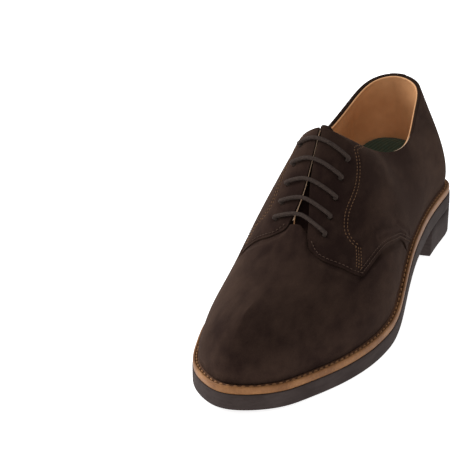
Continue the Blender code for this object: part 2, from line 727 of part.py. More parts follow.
def main():
    for old in list(bpy.data.objects):
        bpy.data.objects.remove(old, do_unlink=True)
    shoe = bpy.data.collections.new("derby_shoe")
    cutters = bpy.data.collections.new("cutters")
    bpy.context.scene.collection.children.link(shoe)
    bpy.context.scene.collection.children.link(cutters)

    suede = material("suede", (0.045, 0.028, 0.020), 0.95)
    tan = material("tan_leather", (0.36, 0.19, 0.09), 0.55)
    raw = material("welt_leather", (0.38, 0.17, 0.07), 0.6)
    rubber = material("dark_rubber", (0.035, 0.028, 0.025), 0.6)
    green = material("green_sock", (0.02, 0.06, 0.04), 0.9)
    fibre = material("fibre_board", (0.45, 0.33, 0.2), 0.8)
    cork = material("cork", (0.42, 0.25, 0.12), 0.9)
    steel = material("steel", (0.5, 0.5, 0.5), 0.35, 1.0)
    thread = material("thread", (0.3, 0.14, 0.05), 0.8)
    cord = material("lace_cord", (0.05, 0.035, 0.03), 0.85)
    plastic = material("aglet_plastic", (0.03, 0.02, 0.02), 0.3)
    foam = material("foam", (0.6, 0.55, 0.4), 0.9)

    root = bpy.data.objects.new("shoe_root", None)
    shoe.objects.link(root)
    hinge = bpy.data.objects.new("tongue_pivot", None)
    base = to_world(upper_point(OUTER, TONGUE_BASE_T, 0.67, 6.0))
    hinge.location = (0.0, base[1], base[2])
    shoe.objects.link(hinge)

    def solid(name, mesh, finish, parent=root):
        return add_object(name, mesh, finish, parent, shoe)

    def leather(name, grid, thickness, finish, parent=root):
        part = solid(name, shell(name, grid), finish, parent)
        thicken = part.modifiers.new("thickness", "SOLIDIFY")
        thicken.thickness = thickness * MM
        thicken.offset = -1.0
        thicken.use_even_offset = False
        return part

    # The bottom: heel, outsole, welt and what lies between them and the insole.
    heel_end = np.interp(HEEL_LENGTH, OUTLINE[OUTER][1][:, 1], OUTLINE[OUTER][0])
    solid("heel_top_piece", slab("heel_top_piece", 1.3, 0.0, heel_end, level(0.0), level(TOP_PIECE),
                                 rows=13, low_inset=1.6), rubber)
    heel = solid("heel_block", slab("heel_block", 0.8, 0.0, heel_end, level(TOP_PIECE + GAP),
                                    level(HEEL_LIFT - GAP), rows=13, low_inset=1.25), rubber)
    outsole = solid("outsole", slab("outsole", 0.0, 0.0, 1.0, sole_bottom, above_sole(0.0), rows=38), rubber)
    low, high = above_sole(GAP), above_sole(WELT_HEIGHT - GAP)
    solid("welt", ring("welt", 0.3, 11.4, low, high), raw)
    solid("insole_rib", ring("insole_rib", 11.8, 13.6, low, high, 28), fibre)
    solid("cork_filler", slab("cork_filler", 14.2, 0.52, 1.0, low, high, rows=18, columns=2), cork)
    insole_top = INSOLE_RISE + INSOLE_THICKNESS
    solid("insole", slab("insole", 9.6, 0.0, 1.0, above_sole(INSOLE_RISE), above_sole(insole_top),
                         rows=26, columns=2), fibre)
    pad_low = insole_top + GAP
    solid("heel_pad", slab("heel_pad", 12.0, 0.03, 0.24, above_sole(pad_low),
                           above_sole(pad_low + PAD_THICKNESS), rows=10), foam)
    sock_low = above_sole(pad_low, SOCK_LIFT, SOCK_CUP)
    sock_high = above_sole(pad_low + SOCK_THICKNESS, SOCK_LIFT, SOCK_CUP)
    solid("sock_liner", slab("sock_liner", 9.9, 0.0, 1.0, sock_low, sock_high, rows=40, columns=2), green)

    shank_x = 3.0 - MIDDLE_X
    shank_top = np.array([[(shank_x + x, s, above_sole(2.2)(s)) for x in (-6.0, 6.0)]
                          for s in np.linspace(60.0, 144.0, 9)])
    solid("shank", loft("shank", shank_top, shank_top - np.array([0.0, 0.0, 1.3])), steel)
    for number, (x, station) in enumerate(NAILS, 1):
        set_nail(number, x, station, solid, (outsole, heel), steel, cutters)

    forward = np.linspace(0.0, 1.0, WELT_STITCHES // 2, endpoint=False)
    around = [(OUTER, t) for t in forward] + [(INNER, 1.0 - t) for t in forward]
    seam = []
    for side, t in around:
        x, station = outline(side, t, 1.9)[:2]
        seam.append(to_world((x, station, above_sole(WELT_HEIGHT + GAP)(station))))
    solid("welt_thread", tube("welt_thread", seam, 0.35, sides=0, cyclic=True), thread)

    # The upper.
    lining = leather("quarter_lining", lining_grid(), LINING_THICKNESS, tan)
    for side, name in SIDE_NAME.items():
        patch = quarter_patch(side)
        quarter = leather(f"quarter_{name}", upper_point(side, patch[..., 0], patch[..., 1]),
                          UPPER_THICKNESS, suede)
        stay = leather(f"facing_stay_{name}", stay_grid(side), 0.5, fibre)
        holed = ((quarter, EYELET_HOLE), (stay, STAY_HOLE), (lining, EYELET_HOLE))
        for number in range(1, 6):
            set_eyelet(side, number, solid, holed, steel, cutters)
    leather("vamp", vamp_grid(), UPPER_THICKNESS, suede)
    leather("backstay", backstay_grid(), 1.1, suede)
    leather("heel_counter", counter_grid(), 1.1, fibre)
    leather("toe_puff", toe_grid(level(TOE_T), MIDDLE_DEPTH, 0.012, 0), 1.2, fibre)
    leather("vamp_lining", toe_grid(lining_start, LINING_DEPTH, 0.0, 5), LINING_THICKNESS, tan)
    leather("tongue", tongue_grid(0.0, 0.0), UPPER_THICKNESS, suede, hinge)
    leather("tongue_lining", tongue_grid(UPPER_THICKNESS + 0.65, 0.012), 0.8, tan, hinge)

    # The lace, about 0.6 m with its two aglets.
    lace = to_world(lace_route())
    solid("lace", tube("lace", lace, LACE_RADIUS), cord)
    for number, (tip, before) in enumerate(((lace[0], lace[1]), (lace[-1], lace[-2])), 1):
        away = (tip - before) / np.linalg.norm(tip - before)
        start = tip + away * GAP * MM
        ends = [start, start + away * AGLET_LENGTH * MM]
        solid(f"aglet_{number}", tube(f"aglet_{number}", ends, LACE_RADIUS), plastic)


main()
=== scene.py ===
"""The look of a left plain-toe derby shoe: brown suede, tan lining and welt, rubber sole, round lace.

Every visible leather is rebuilt here as a fine mesh on the same smooth surface as its CAD node, with its
seams, stitches, folds and rounded edges. Positions along the shoe are stations, in millimetres forward
from the back of the heel; upper_point(side, t, v, depth) is a point of the upper, where t runs along the
welt from heel to toe, v climbs from the welt to the topline or ridge, and depth is how far in it lies.
"""

import json

import bpy
import numpy as np
from mathutils import Matrix, Vector


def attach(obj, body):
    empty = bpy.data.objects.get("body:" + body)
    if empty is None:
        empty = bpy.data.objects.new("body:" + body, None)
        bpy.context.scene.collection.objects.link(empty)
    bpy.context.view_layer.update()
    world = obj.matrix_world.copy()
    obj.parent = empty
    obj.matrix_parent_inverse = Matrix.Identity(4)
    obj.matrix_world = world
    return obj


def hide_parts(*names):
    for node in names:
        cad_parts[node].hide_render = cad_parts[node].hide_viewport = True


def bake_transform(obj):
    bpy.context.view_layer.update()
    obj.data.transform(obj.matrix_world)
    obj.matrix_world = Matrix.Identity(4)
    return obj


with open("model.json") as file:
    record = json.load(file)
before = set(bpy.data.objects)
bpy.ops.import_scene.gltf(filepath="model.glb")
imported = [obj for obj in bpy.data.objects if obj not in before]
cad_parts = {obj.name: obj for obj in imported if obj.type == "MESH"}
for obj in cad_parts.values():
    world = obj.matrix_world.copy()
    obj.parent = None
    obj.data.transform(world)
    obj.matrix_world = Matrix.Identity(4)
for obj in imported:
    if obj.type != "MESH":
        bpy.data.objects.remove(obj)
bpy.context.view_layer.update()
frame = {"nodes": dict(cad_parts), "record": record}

MM = 0.001
OUTER = 1
INNER = -1
SIDE_NAME = {OUTER: "lateral", INNER: "medial"}

# ---- the shoe's own dimensions, millimetres, as in the CAD ----
LENGTH = 300.0
MIDDLE_STATION = 149.25
MIDDLE_X = 2.2
SOLE_THICKNESS = 8.8
WELT_HEIGHT = 4.6
HEEL_LIFT = 16.8
TOE_SPRING = 2.8
HEEL_LENGTH = 66.0
UPPER_INSET = 3.6
UPPER_THICKNESS = 1.35
LINING_DEPTH = 3.9
LINING_THICKNESS = 1.0
LACE_RADIUS = 1.25
LACE_REST = 1.5
LACE_UNDER = 6.6
TONGUE_DEPTH = 8.5
TONGUE_BASE_DEPTH = 5.3
TONGUE_BASE_T = 0.725
SOCK_LIFT = 3.4
SOCK_CUP = 13.0
CUP_STATION = 27.0

STATIONS = [4, 16, 40, 75, 110, 145, 175, 200, 225, 250, 272, 289]
OUTER_WIDTHS = [15.3, 36.3, 40.0, 40.5, 43.8, 47.8, 51.6, 51.8, 48.0, 39.3, 28.6, 17.4]
INNER_WIDTHS = [14.5, 29.5, 34.8, 34.3, 32.0, 37.2, 45.2, 47.4, 46.0, 41.4, 34.8, 23.6]
TOE_TIP_X = -6.0
TOPLINE = [
    (-1.00, -3.5, 147, 104.5), (-0.94, -13.6, 138, 97.5), (-0.84, -19.0, 118, 85.5),
    (-0.68, -25.0, 90, 75.5), (-0.50, -25.6, 62, 74.0), (-0.32, -22.0, 34, 80.5),
    (-0.15, -14.6, 13, 88.0), (0.00, 0.6, 5.5, 91.0), (0.15, 16.0, 13, 88.6),
    (0.32, 22.0, 34, 82.5), (0.50, 26.2, 62, 75.8), (0.68, 26.8, 90, 75.0),
    (0.84, 20.0, 118, 83.0), (0.94, 10.0, 138, 95.5), (1.00, -3.5, 147, 104.5),
]
THROAT_T = 0.493
THROAT_STATION = 147.0
POLE_STATION = 268.0
RIDGE = [
    (147, -3.5, 104.5), (156, -2.8, 100.2), (168, -2.0, 92.2), (180, -1.0, 82.3), (195, 0.6, 71.0),
    (210, 2.0, 61.8), (228, 2.4, 54.5), (248, 0.4, 49.8), (268, -4.0, 47.4),
]
WALL = [
    (0.00, 0.33, 5.8, 0.33, 5.8), (0.17, 0.31, 4.5, 0.33, 5.0), (0.34, 0.30, 5.2, 0.30, 2.9),
    (0.50, 0.35, 5.0, 0.40, 2.9), (0.66, 0.45, 6.0, 0.36, 1.8), (0.83, 0.55, 5.0, 0.48, 3.0),
    (1.00, 0.60, 4.1, 0.60, 4.1),
]
QUARTER_EDGE = {
    OUTER: [
        (0.000, 0.417), (0.175, 0.476), (0.275, 0.532), (0.363, 0.585), (0.400, 0.625), (0.423, 0.668),
        (0.481, 0.681), (0.575, 0.694), (0.656, 0.705), (0.744, 0.714), (0.838, 0.712), (0.894, 0.699),
        (0.915, 0.680),
    ],
    INNER: [
        (0.000, 0.410), (0.175, 0.465), (0.275, 0.515), (0.350, 0.560), (0.385, 0.600), (0.410, 0.641),
        (0.470, 0.650), (0.560, 0.660), (0.656, 0.670), (0.744, 0.679), (0.838, 0.680), (0.894, 0.672),
        (0.915, 0.660),
    ],
}
FACING_EDGE = [(0.507, 0.978), (0.530, 0.986), (0.570, 0.984), (0.600, 0.975), (0.635, 0.948), (0.660, 0.926)]
FACING_CORNER = [(0.462, 1.0), (0.478, 0.999), (0.490, 0.983)]
EYELETS = {
    OUTER: [(0.527, 0.755), (0.565, 0.772), (0.600, 0.780), (0.635, 0.787), (0.669, 0.790)],
    INNER: [(0.517, 0.795), (0.556, 0.800), (0.590, 0.800), (0.621, 0.792), (0.649, 0.775)],
}
# The lace comes up at these pairs of eyelets, first on the inner side and then on each side in turn.
# Below the facings it runs on to the next pair, shifted this far in v; its two ends stop at these t.
LACE_ORDER = [4, 2, 1, 3, 5]
UNDER_SHIFTS = [0.034, 0.0, -0.034, 0.034]
LACE_ENDS = (0.91, 0.87)
VAMP_BACK = {
    OUTER: [(0.00, 0.372), (0.20, 0.435), (0.35, 0.520), (0.45, 0.580), (0.55, 0.635), (0.66, 0.686),
            (0.86, 0.692), (1.00, 0.676)],
    INNER: [(0.00, 0.365), (0.20, 0.425), (0.35, 0.505), (0.45, 0.565), (0.55, 0.615), (0.66, 0.660),
            (0.86, 0.667), (1.00, 0.676)],
}

# ---- the look's own dimensions, millimetres ----
HOLE_RADIUS = 1.55
EYELET_DIMPLE = (0.9, 2.4)  # depth and width, as in the next four
SEAM_GROOVE = (0.30, 1.7)
CREASE_GROOVE = (0.75, 1.6)
CREASE_ROLL = (0.45, 4.5)
SKIVED_EDGE = (0.5, 2.2)
SKIVED_AWAY = 0.55
SIDE_SEAM_ROWS = (-1.6, -3.5)
SIDE_SEAM_GROOVE = -2.6
FRONT_EDGE_ROW = -1.7
BACKSTAY_RISE = 1.30
LINING_RISE = 2.35
HEEL_LINING_DROP = 0.75
SEAM_PITCH = 2.3
SEAM_GAP = 0.75
SEAM_SUNK = 0.22
THREAD = 0.26
BEAD_OUT = 0.30
BEAD_RADIUS = 0.34
TUCK_DEPTH = 1.5
TONGUE_TOP_T = 0.500
TONGUE_CROWN = 8.0
LACE_STEP = 0.45
LACE_LAY = 9.0
LACE_STRANDS = 4.0
STRAND_HEIGHT = 0.16
TREAD_DEPTH = 0.9
TREAD_PITCH = 8.0
TREAD_BORDER = 6.0
SOCK_INSET = 9.3
SOCK_TOP = 8.85
SOCK_UNDER = 7.6
WELT_PITCH = 4.1
STITCH_INSET = 2.35
STITCH_HEIGHT = 3.74
STITCH_RADIUS = 0.46
STITCH_RISE = 0.34
STITCH_SPAN = (0.17, 0.83)
WELT_HOLE = (1.9, 0.72, 0.45)  # depth, and widths along and across the welt
# The welt's section as (inset, height), and the span of its points that lie in the stitch channel.
WELT_SECTION = [
    (11.4, 0.1), (0.75, 0.1), (0.42, 0.45), (0.28, 1.3), (0.25, 2.6), (0.34, 3.7), (0.65, 4.22),
    (1.10, 4.40), (1.5, 4.34), (1.75, 4.08), (2.05, 3.80), (2.35, 3.70), (2.65, 3.80), (2.95, 3.98),
    (3.4, 4.15), (4.2, 4.25), (11.4, 4.25),
]
# Faces within this span get the darker channel leather, which is painted shade.
CHANNEL_SPAN = (9, 14)
# The edges of plates, as (share of the way from top to bottom, reach outward).
ROUND_EDGE = [(0.06, 0.16), (0.25, 0.34), (0.5, 0.42), (0.75, 0.34), (0.94, 0.16)]
SQUARE_EDGE = [(0.02, 0.35), (0.05, 0.48), (0.3, 0.5), (0.7, 0.5), (0.92, 0.45), (0.98, 0.28)]
HEEL_EDGE = [(0.003, 0.45), (0.3, 0.5), (0.65, 0.5), (0.95, 0.45), (0.99, 0.25)]
SOCK_EDGE = [(0.1, 0.2), (0.4, 0.35), (0.7, 0.3), (0.95, 0.1)]
# The double row behind each facing as (t, v), and the bar of stitches at its lower corner.
FACING_SEAM = {
    OUTER: [(0.452, 0.965), (0.462, 0.86), (0.487, 0.748), (0.519, 0.672), (0.551, 0.656), (0.580, 0.668),
            (0.605, 0.680), (0.626, 0.668), (0.638, 0.630), (0.640, 0.585), (0.637, 0.545)],
    INNER: [(0.452, 0.965), (0.462, 0.87), (0.483, 0.775), (0.512, 0.705), (0.545, 0.690), (0.575, 0.692),
            (0.596, 0.688), (0.612, 0.665), (0.618, 0.625), (0.618, 0.580), (0.615, 0.540)],
}
BAR_TACK = {
    OUTER: [(0.637, 0.545), (0.650, 0.515), (0.668, 0.480)],
    INNER: [(0.615, 0.540), (0.627, 0.505), (0.641, 0.470)],
}

# Walking creases behind the side seam of the outer quarter, as (t, v).
CREASES = [
    [(0.577, 0.475), (0.547, 0.404), (0.512, 0.329), (0.475, 0.260), (0.438, 0.171)],
    [(0.580, 0.425), (0.546, 0.359), (0.506, 0.273), (0.468, 0.195)],
]

# ---- the camera: a long lens from the front, to the outer side of the toe, looking down ----
CAMERA_TURN = 17.38
CAMERA_RISE = 22.49
CAMERA_DISTANCE = 1.342
CAMERA_AIM = (-0.05633, 0.00705)
CAMERA_ROLL = -0.82
CAMERA_LENS = 190.7
CAMERA_TARGET = (-0.0022, -0.00075, 0.040)

# ---- the studio, in metres and watts: lights as (name, place, aim, size, power) ----
WORLD_STRENGTH = 0.50
FLOOR_GLOW = 0.85
FLOOR_REACH = 6.0
FLOOR_LEVEL = -0.0003
LIGHTS = [
    ("key", (-1.5, -0.1, 1.1), (0.0, -0.02, 0.05), (1.2, 1.0), 27.0),
    ("fill", (1.0, -1.5, 1.1), (0.0, 0.0, 0.04), (1.2, 0.9), 2.0),
]


# ---- curves and surfaces, millimetres ----

def smoothstep(value):
    value = np.clip(value, 0.0, 1.0)
    return value * value * (3.0 - 2.0 * value)


def unit(vectors):
    return vectors / np.linalg.norm(vectors, axis=-1)[..., None]


def shares(count):
    """Even steps from 0 to 1."""
    return np.linspace(0.0, 1.0, count)


def lengths_along(points):
    """How far along a polyline each of its points lies."""
    return np.r_[0.0, np.cumsum(np.linalg.norm(np.diff(points, axis=0), axis=1))]


def root_knots(points):
    """Knots that grow with the root of each step, which keeps a spline calm where its points crowd."""
    return np.r_[0.0, np.cumsum(np.sqrt(np.linalg.norm(np.diff(points, axis=0), axis=1)))]


def spline(knots, values, closed=False):
    """A cubic with continuous curvature through the values, as a function of the knots."""
    knots = np.asarray(knots, float)
    values = np.asarray(values, float).reshape(len(knots), -1)
    count = len(knots)
    step = np.diff(knots)
    matrix = np.zeros((count, count))
    right = np.zeros_like(values)
    for i in range(1, count - 1):
        matrix[i, i - 1:i + 2] = step[i - 1], 2.0 * (step[i - 1] + step[i]), step[i]
        right[i] = 6.0 * ((values[i + 1] - values[i]) / step[i] - (values[i] - values[i - 1]) / step[i - 1])
    if closed:
        matrix[0, 0], matrix[0, -1] = 1.0, -1.0
        matrix[-1, :2] = 2.0 * step[0], step[0]
        matrix[-1, -2:] = step[-1], 2.0 * step[-1]
        right[-1] = 6.0 * ((values[1] - values[0]) / step[0] - (values[-1] - values[-2]) / step[-1])
    else:
        matrix[0, 0] = matrix[-1, -1] = 1.0
    bend = np.linalg.solve(matrix, right)

    def curve(at):
        at = np.asarray(at, float)
        flat = at.ravel()
        i = np.clip(np.searchsorted(knots, flat) - 1, 0, count - 2)
        width = step[i][:, None]
        a = (knots[i + 1] - flat)[:, None] / width
        b = 1.0 - a
        cubic = (a ** 3 - a) * bend[i] + (b ** 3 - b) * bend[i + 1]
        out = a * values[i] + b * values[i + 1] + cubic * width ** 2 / 6.0
        return out.reshape(at.shape + (values.shape[1],))

    return curve


def outline_sides():
    """Both halves of the sole's outline: side -> (share of its length, points, outward normals)."""
    outer = list(zip(OUTER_WIDTHS, STATIONS))
    inner = [(-width, station) for width, station in zip(INNER_WIDTHS, STATIONS)]
    points = np.array([(0.0, 0.0)] + outer + [(TOE_TIP_X, LENGTH)] + inner[::-1] + [(0.0, 0.0)])
    points[:, 0] -= MIDDLE_X
    knots = root_knots(points)
    curve = spline(knots, points, closed=True)
    toe = knots[len(outer) + 1]
    sides = {}
    for side, start in ((OUTER, 0.0), (INNER, knots[-1])):
        line = curve(np.linspace(start, toe, 2400))
        length = lengths_along(line)
        along = unit(np.gradient(line, axis=0))
        normal = np.stack([along[:, 1], -along[:, 0]], -1) * side
        sides[side] = (length / length[-1], line, normal)
    return sides


OUTLINE = outline_sides()
TOPLINE_CURVE = spline([row[0] for row in TOPLINE], [row[1:] for row in TOPLINE])
RIDGE_CURVE = spline([row[0] for row in RIDGE], [row[1:] for row in RIDGE])
WALL_CURVE = spline([row[0] for row in WALL], [row[1:] for row in WALL])


def outline(side, t, inset=0.0):
    """x and station on the sole's outline, and its outward normal, at a distance inside it."""
    share, line, normal = OUTLINE[side]
    at = [np.interp(t, share, column) for column in (*line.T, *normal.T)]
    size = np.hypot(at[2], at[3])
    across, ahead = at[2] / size, at[3] / size
    return at[0] - across * inset, at[1] - ahead * inset, across, ahead


def sole_bottom(station):
    """Height of the outsole's underside: flat at the ball, lifted at the waist, sprung at the toe."""
    ahead = np.clip((station - 240.0) / 60.0, 0.0, None)
    return TOE_SPRING * ahead ** 2 + HEEL_LIFT * smoothstep((195.0 - station) / 85.0)


def sole_top(station):
    return sole_bottom(station) + SOLE_THICKNESS


def ridge_station(t):
    share = np.clip((t - THROAT_T) / (1.0 - THROAT_T), 0.0, 1.0)
    return THROAT_STATION + (POLE_STATION - THROAT_STATION) * (1.25 * share - 0.25 * share ** 3)


def ridge_slope(station):
    """How much the ridge climbs over one millimetre at a station."""
    return RIDGE_CURVE(station + 0.5)[..., 1] - RIDGE_CURVE(station - 0.5)[..., 1]


def outer_surface(side, t, v):
    """The face of the upper as (x, station, height): a Bezier section from the welt to the top."""
    t, v = np.broadcast_arrays(np.asarray(t, float), np.asarray(v, float))
    x, station, out_x, out_s = outline(side, t, UPPER_INSET)
    foot = np.stack([x, station, sole_top(station) + WELT_HEIGHT], -1)
    share = np.clip(t / THROAT_T, 0.0, 1.0)
    on_topline = TOPLINE_CURVE(share * side)
    ridge_at = ridge_station(t)
    on_ridge = np.insert(RIDGE_CURVE(ridge_at), 1, ridge_at, axis=-1)
    behind = (t <= THROAT_T)[..., None]
    top = np.where(behind, on_topline, on_ridge)
    top = top - np.array([MIDDLE_X, 0.0, 0.0])
    slope = ridge_slope(ridge_at)
    flat = (foot - top)[..., :2]
    reach = np.maximum(np.linalg.norm(flat, axis=-1), 1e-6)
    height = top[..., 2] - foot[..., 2]
    over = smoothstep((share - 0.62) / 0.38)
    straight_out = np.stack([out_x, out_s], -1)
    away = straight_out * (1.0 - over)[..., None] + flat / reach[..., None] * over[..., None]
    pull = (1.0 - over) * 6.1 + over * 0.485 * reach
    drop = np.where(behind[..., 0], -(1.0 - over) * 0.21 * height, away[..., 1] * pull * slope)
    high = top + np.concatenate([away * pull[..., None], drop[..., None]], -1)
    wall = WALL_CURVE(t)
    rise, swell = (wall[..., 0], wall[..., 1]) if side == OUTER else (wall[..., 2], wall[..., 3])
    low = foot + np.stack([out_x * swell, out_s * swell, rise * height], -1)
    v = v[..., None]
    return (1 - v) ** 3 * foot + 3 * (1 - v) ** 2 * v * low + 3 * (1 - v) * v * v * high + v ** 3 * top


def surface_normal(side, t, v):
    step = 0.002
    t, v = np.broadcast_arrays(np.asarray(t, float), np.asarray(v, float))
    near_t = np.clip(t, step, 1.0 - step)
    near_v = np.clip(v, step, 1.0 - step)
    along = outer_surface(side, near_t + step, near_v) - outer_surface(side, near_t - step, near_v)
    up = outer_surface(side, near_t, near_v + step) - outer_surface(side, near_t, near_v - step)
    normal = unit(np.cross(along, up) * side)
    slope = ridge_slope(ridge_station(t))
    over_ridge = unit(np.stack([np.zeros_like(slope), -slope, np.ones_like(slope)], -1))
    normal = np.where(((v > 0.9985) & (t > THROAT_T))[..., None], over_ridge, normal)
    normal[..., 0] = np.where(t < 0.0005, 0.0, normal[..., 0])
    at_pole = (smoothstep((t - 0.90) / 0.07) * smoothstep((v - 0.90) / 0.07))[..., None]
    end_slope = np.diff(RIDGE_CURVE(np.array([POLE_STATION - 1.0, POLE_STATION]))[:, 1])[0]
    normal = normal + (np.array([0.0, -end_slope, 1.0]) - normal) * at_pole
    return unit(normal)


def upper_point(side, t, v, depth=0.0):
    """A point of the upper, set in from its face by depth, in (x, station, height)."""
    depth = np.asarray(depth, float)
    return outer_surface(side, t, v) - surface_normal(side, t, v) * depth[..., None]


def to_world(points):
    """(x, station, height) in millimetres to world metres."""
    points = np.asarray(points, float)
    return np.stack([points[..., 0], MIDDLE_STATION - points[..., 1], points[..., 2]], -1) * MM


def upper_world(side, t, v, depth=0.0):
    """A point of the upper in world metres."""
    return to_world(upper_point(side, t, v, depth))


def turned_to_world(vectors):
    return np.stack([vectors[..., 0], -vectors[..., 1], vectors[..., 2]], -1)


def line_through(points):
    points = np.array(points, float)
    knots = lengths_along(points)
    return spline(knots / knots[-1], points)


def even_line(points, pitch):
    """World points along a polyline at about an even pitch in metres, and the shares they lie at."""
    along = lengths_along(points)
    count = max(2, int(round(along[-1] / pitch)) + 1)
    spots = np.linspace(0.0, along[-1], count)
    share = np.interp(spots, along, shares(len(points)))
    line = np.stack([np.interp(spots, along, points[:, k]) for k in range(3)], -1)
    return line, share


# ---- node materials ----

class Look:
    """A Principled material, with the node recipes that the shoe's surfaces share."""

    def __init__(self, name, roughness, **sockets):
        self.material = bpy.data.materials.new(name)
        self.material.use_nodes = True
        self.tree = self.material.node_tree
        self.shader = self.tree.nodes["Principled BSDF"]
        self.shader.inputs["Roughness"].default_value = roughness
        for socket, value in sockets.items():
            self.shader.inputs[socket.replace("_", " ")].default_value = value
        self.place = self.add("ShaderNodeTexCoord").outputs["Object"]

    def add(self, kind, values=None, **settings):
        """A node of this kind, with the values of its sockets and its settings."""
        node = self.tree.nodes.new(kind)
        for setting, value in settings.items():
            setattr(node, setting, value)
        for socket, value in (values or {}).items():
            node.inputs[socket].default_value = value
        return node

    def join(self, source, target):
        self.tree.links.new(source, target)

    def stretched(self, size, stretch=(1.0, 1.0, 1.0), turn=0.0):
        scale = [share / size for share in stretch]
        mapping = self.add("ShaderNodeMapping", {"Scale": scale, "Rotation": (0.0, 0.0, turn)})
        self.join(self.place, mapping.inputs["Vector"])
        return mapping.outputs["Vector"]

    def noise(self, size, detail=2.0, stretch=(1.0, 1.0, 1.0), roughness=0.5, turn=0.0):
        """Clouds of about this size, in metres."""
        texture = self.add("ShaderNodeTexNoise", {"Scale": 1.0, "Detail": detail, "Roughness": roughness})
        self.join(self.stretched(size, stretch, turn), texture.inputs["Vector"])
        return texture.outputs["Fac"]

    def cells(self, size):
        texture = self.add("ShaderNodeTexVoronoi", {"Scale": 1.0})
        self.join(self.stretched(size), texture.inputs["Vector"])
        return texture.outputs["Distance"]

    def waves(self, size, stretch, turn):
        texture = self.add("ShaderNodeTexWave", {"Scale": 1.0})
        self.join(self.stretched(size, stretch, turn), texture.inputs["Vector"])
        return texture.outputs["Fac"]

    def sum(self, *shares):
        """A weighted sum of (value, weight) pairs."""
        total = None
        for value, weight in shares:
            node = self.add("ShaderNodeMath", operation="MULTIPLY_ADD")
            self.join(value, node.inputs[0])
            node.inputs[1].default_value = weight
            node.inputs[2].default_value = 0.0
            if total is not None:
                self.join(total, node.inputs[2])
            total = node.outputs[0]
        return total

    def ramp(self, value, *stops):
        """Colours over a value: (position, colour) pairs."""
        node = self.add("ShaderNodeValToRGB")
        band = node.color_ramp
        while len(band.elements) < len(stops):
            band.elements.new(0.5)
        for element, (position, colour) in zip(band.elements, stops):
            element.position = position
            element.color = (*colour, 1.0)
        self.join(value, node.inputs["Fac"])
        return node.outputs["Color"]

    def colour(self, value):
        self.join(value, self.shader.inputs["Base Color"])

    def rough(self, value, low, high):
        node = self.add("ShaderNodeMapRange", {"To Min": low, "To Max": high})
        self.join(value, node.inputs["Value"])
        self.join(node.outputs["Result"], self.shader.inputs["Roughness"])

    def bump(self, height, distance, strength):
        node = self.add("ShaderNodeBump", {"Distance": distance, "Strength": strength})
        self.join(height, node.inputs["Height"])
        self.join(node.outputs["Normal"], self.shader.inputs["Normal"])


def suede_look(name, dark, light):
    """Napped suede: broad brushed patches, short strokes of pile and fine fibres; partly painted light, as
    the colour is lighter towards -x, the inner side that faces the key lamp, and darker towards the outer
    side.
    """
    look = Look(name, 0.95, Specular_IOR_Level=0.04, Sheen_Weight=0.10, Sheen_Roughness=0.5)
    look.shader.inputs["Sheen Tint"].default_value = (0.50, 0.30, 0.20, 1.0)
    patches = look.noise(0.055, 3.0, (1.0, 0.75, 1.0))
    strokes = look.noise(0.007, 3.0, (1.0, 0.45, 0.8), turn=0.5)
    fibres = look.noise(0.0006, 2.0, roughness=0.7)
    # Painted light: the x of each point, weighted -2, lightens the inner (-x) side that faces the key lamp
    # and darkens the outer side; the noise terms are the suede's own brushed pile and fibres.
    across = look.add("ShaderNodeSeparateXYZ")
    look.join(look.place, across.inputs[0])
    nap_and_painted_light = look.sum((patches, 0.56), (strokes, 0.32), (fibres, 0.12), (across.outputs[0], -2.0))
    middle = [0.5 * (a + b) for a, b in zip(dark, light)]
    look.colour(look.ramp(nap_and_painted_light, (0.40, dark), (0.50, middle), (0.61, light)))
    look.bump(look.sum((strokes, 0.5), (fibres, 0.5)), 0.0005, 0.55)
    return look.material


def smooth_leather_look(name, dark, light, roughness, grain=0.0012):
    """Smooth leather: pores, faint wrinkles and slow changes of tone."""
    look = Look(name, roughness, Specular_IOR_Level=0.35)
    tone = look.noise(0.030, 3.0)
    pores = look.cells(grain)
    wrinkles = look.noise(0.006, 4.0, (1.0, 0.5, 1.0))
    look.colour(look.ramp(look.sum((tone, 0.7), (wrinkles, 0.3)), (0.32, dark), (0.68, light)))
    look.rough(wrinkles, roughness - 0.08, roughness + 0.12)
    look.bump(look.sum((pores, 0.25), (wrinkles, 0.75)), 0.0005, 0.35)
    return look.material


def welt_look():
    """Vegetable-tanned welt leather, browner in streaks."""
    look = Look("welt_leather", 0.55, Specular_IOR_Level=0.2)
    tone = look.noise(0.016, 4.0)
    fibres = look.noise(0.0011, 3.0)
    both = look.sum((tone, 0.7), (fibres, 0.3))
    look.colour(look.ramp(both, (0.33, (0.145, 0.058, 0.019)), (0.5, (0.230, 0.101, 0.036)),
                          (0.68, (0.325, 0.155, 0.060))))
    look.rough(fibres, 0.42, 0.65)
    look.bump(both, 0.0004, 0.4)
    return look.material


def rubber_look():
    """Moulded rubber with a fine dull texture and faint scuffs."""
    look = Look("dark_rubber", 0.8, Specular_IOR_Level=0.06)
    cloud = look.noise(0.020, 3.0)
    grit = look.noise(0.0007, 2.0)
    scuffs = look.noise(0.004, 4.0, (1.0, 0.35, 3.0))
    look.colour(look.ramp(look.sum((cloud, 0.6), (scuffs, 0.4)), (0.35, (0.037, 0.027, 0.025)),
                          (0.66, (0.059, 0.045, 0.042))))
    look.rough(scuffs, 0.70, 0.90)
    look.bump(look.sum((grit, 0.7), (scuffs, 0.3)), 0.0004, 0.35)
    return look.material


def sock_look():
    """Green sock lining: a close crosswise rib."""
    look = Look("green_sock", 0.8, Specular_IOR_Level=0.2, Sheen_Weight=0.2)
    ribs = look.waves(0.0019, (0.25, 1.0, 0.25), turn=0.35)
    yarn = look.waves(0.0016, (1.0, 0.25, 0.25), turn=0.35)
    fuzz = look.noise(0.0008, 2.0)
    weave = look.sum((ribs, 0.4), (yarn, 0.35), (fuzz, 0.25))
    look.colour(look.ramp(weave, (0.25, (0.032, 0.056, 0.040)), (0.8, (0.062, 0.104, 0.071))))
    look.bump(weave, 0.0005, 0.6)
    return look.material


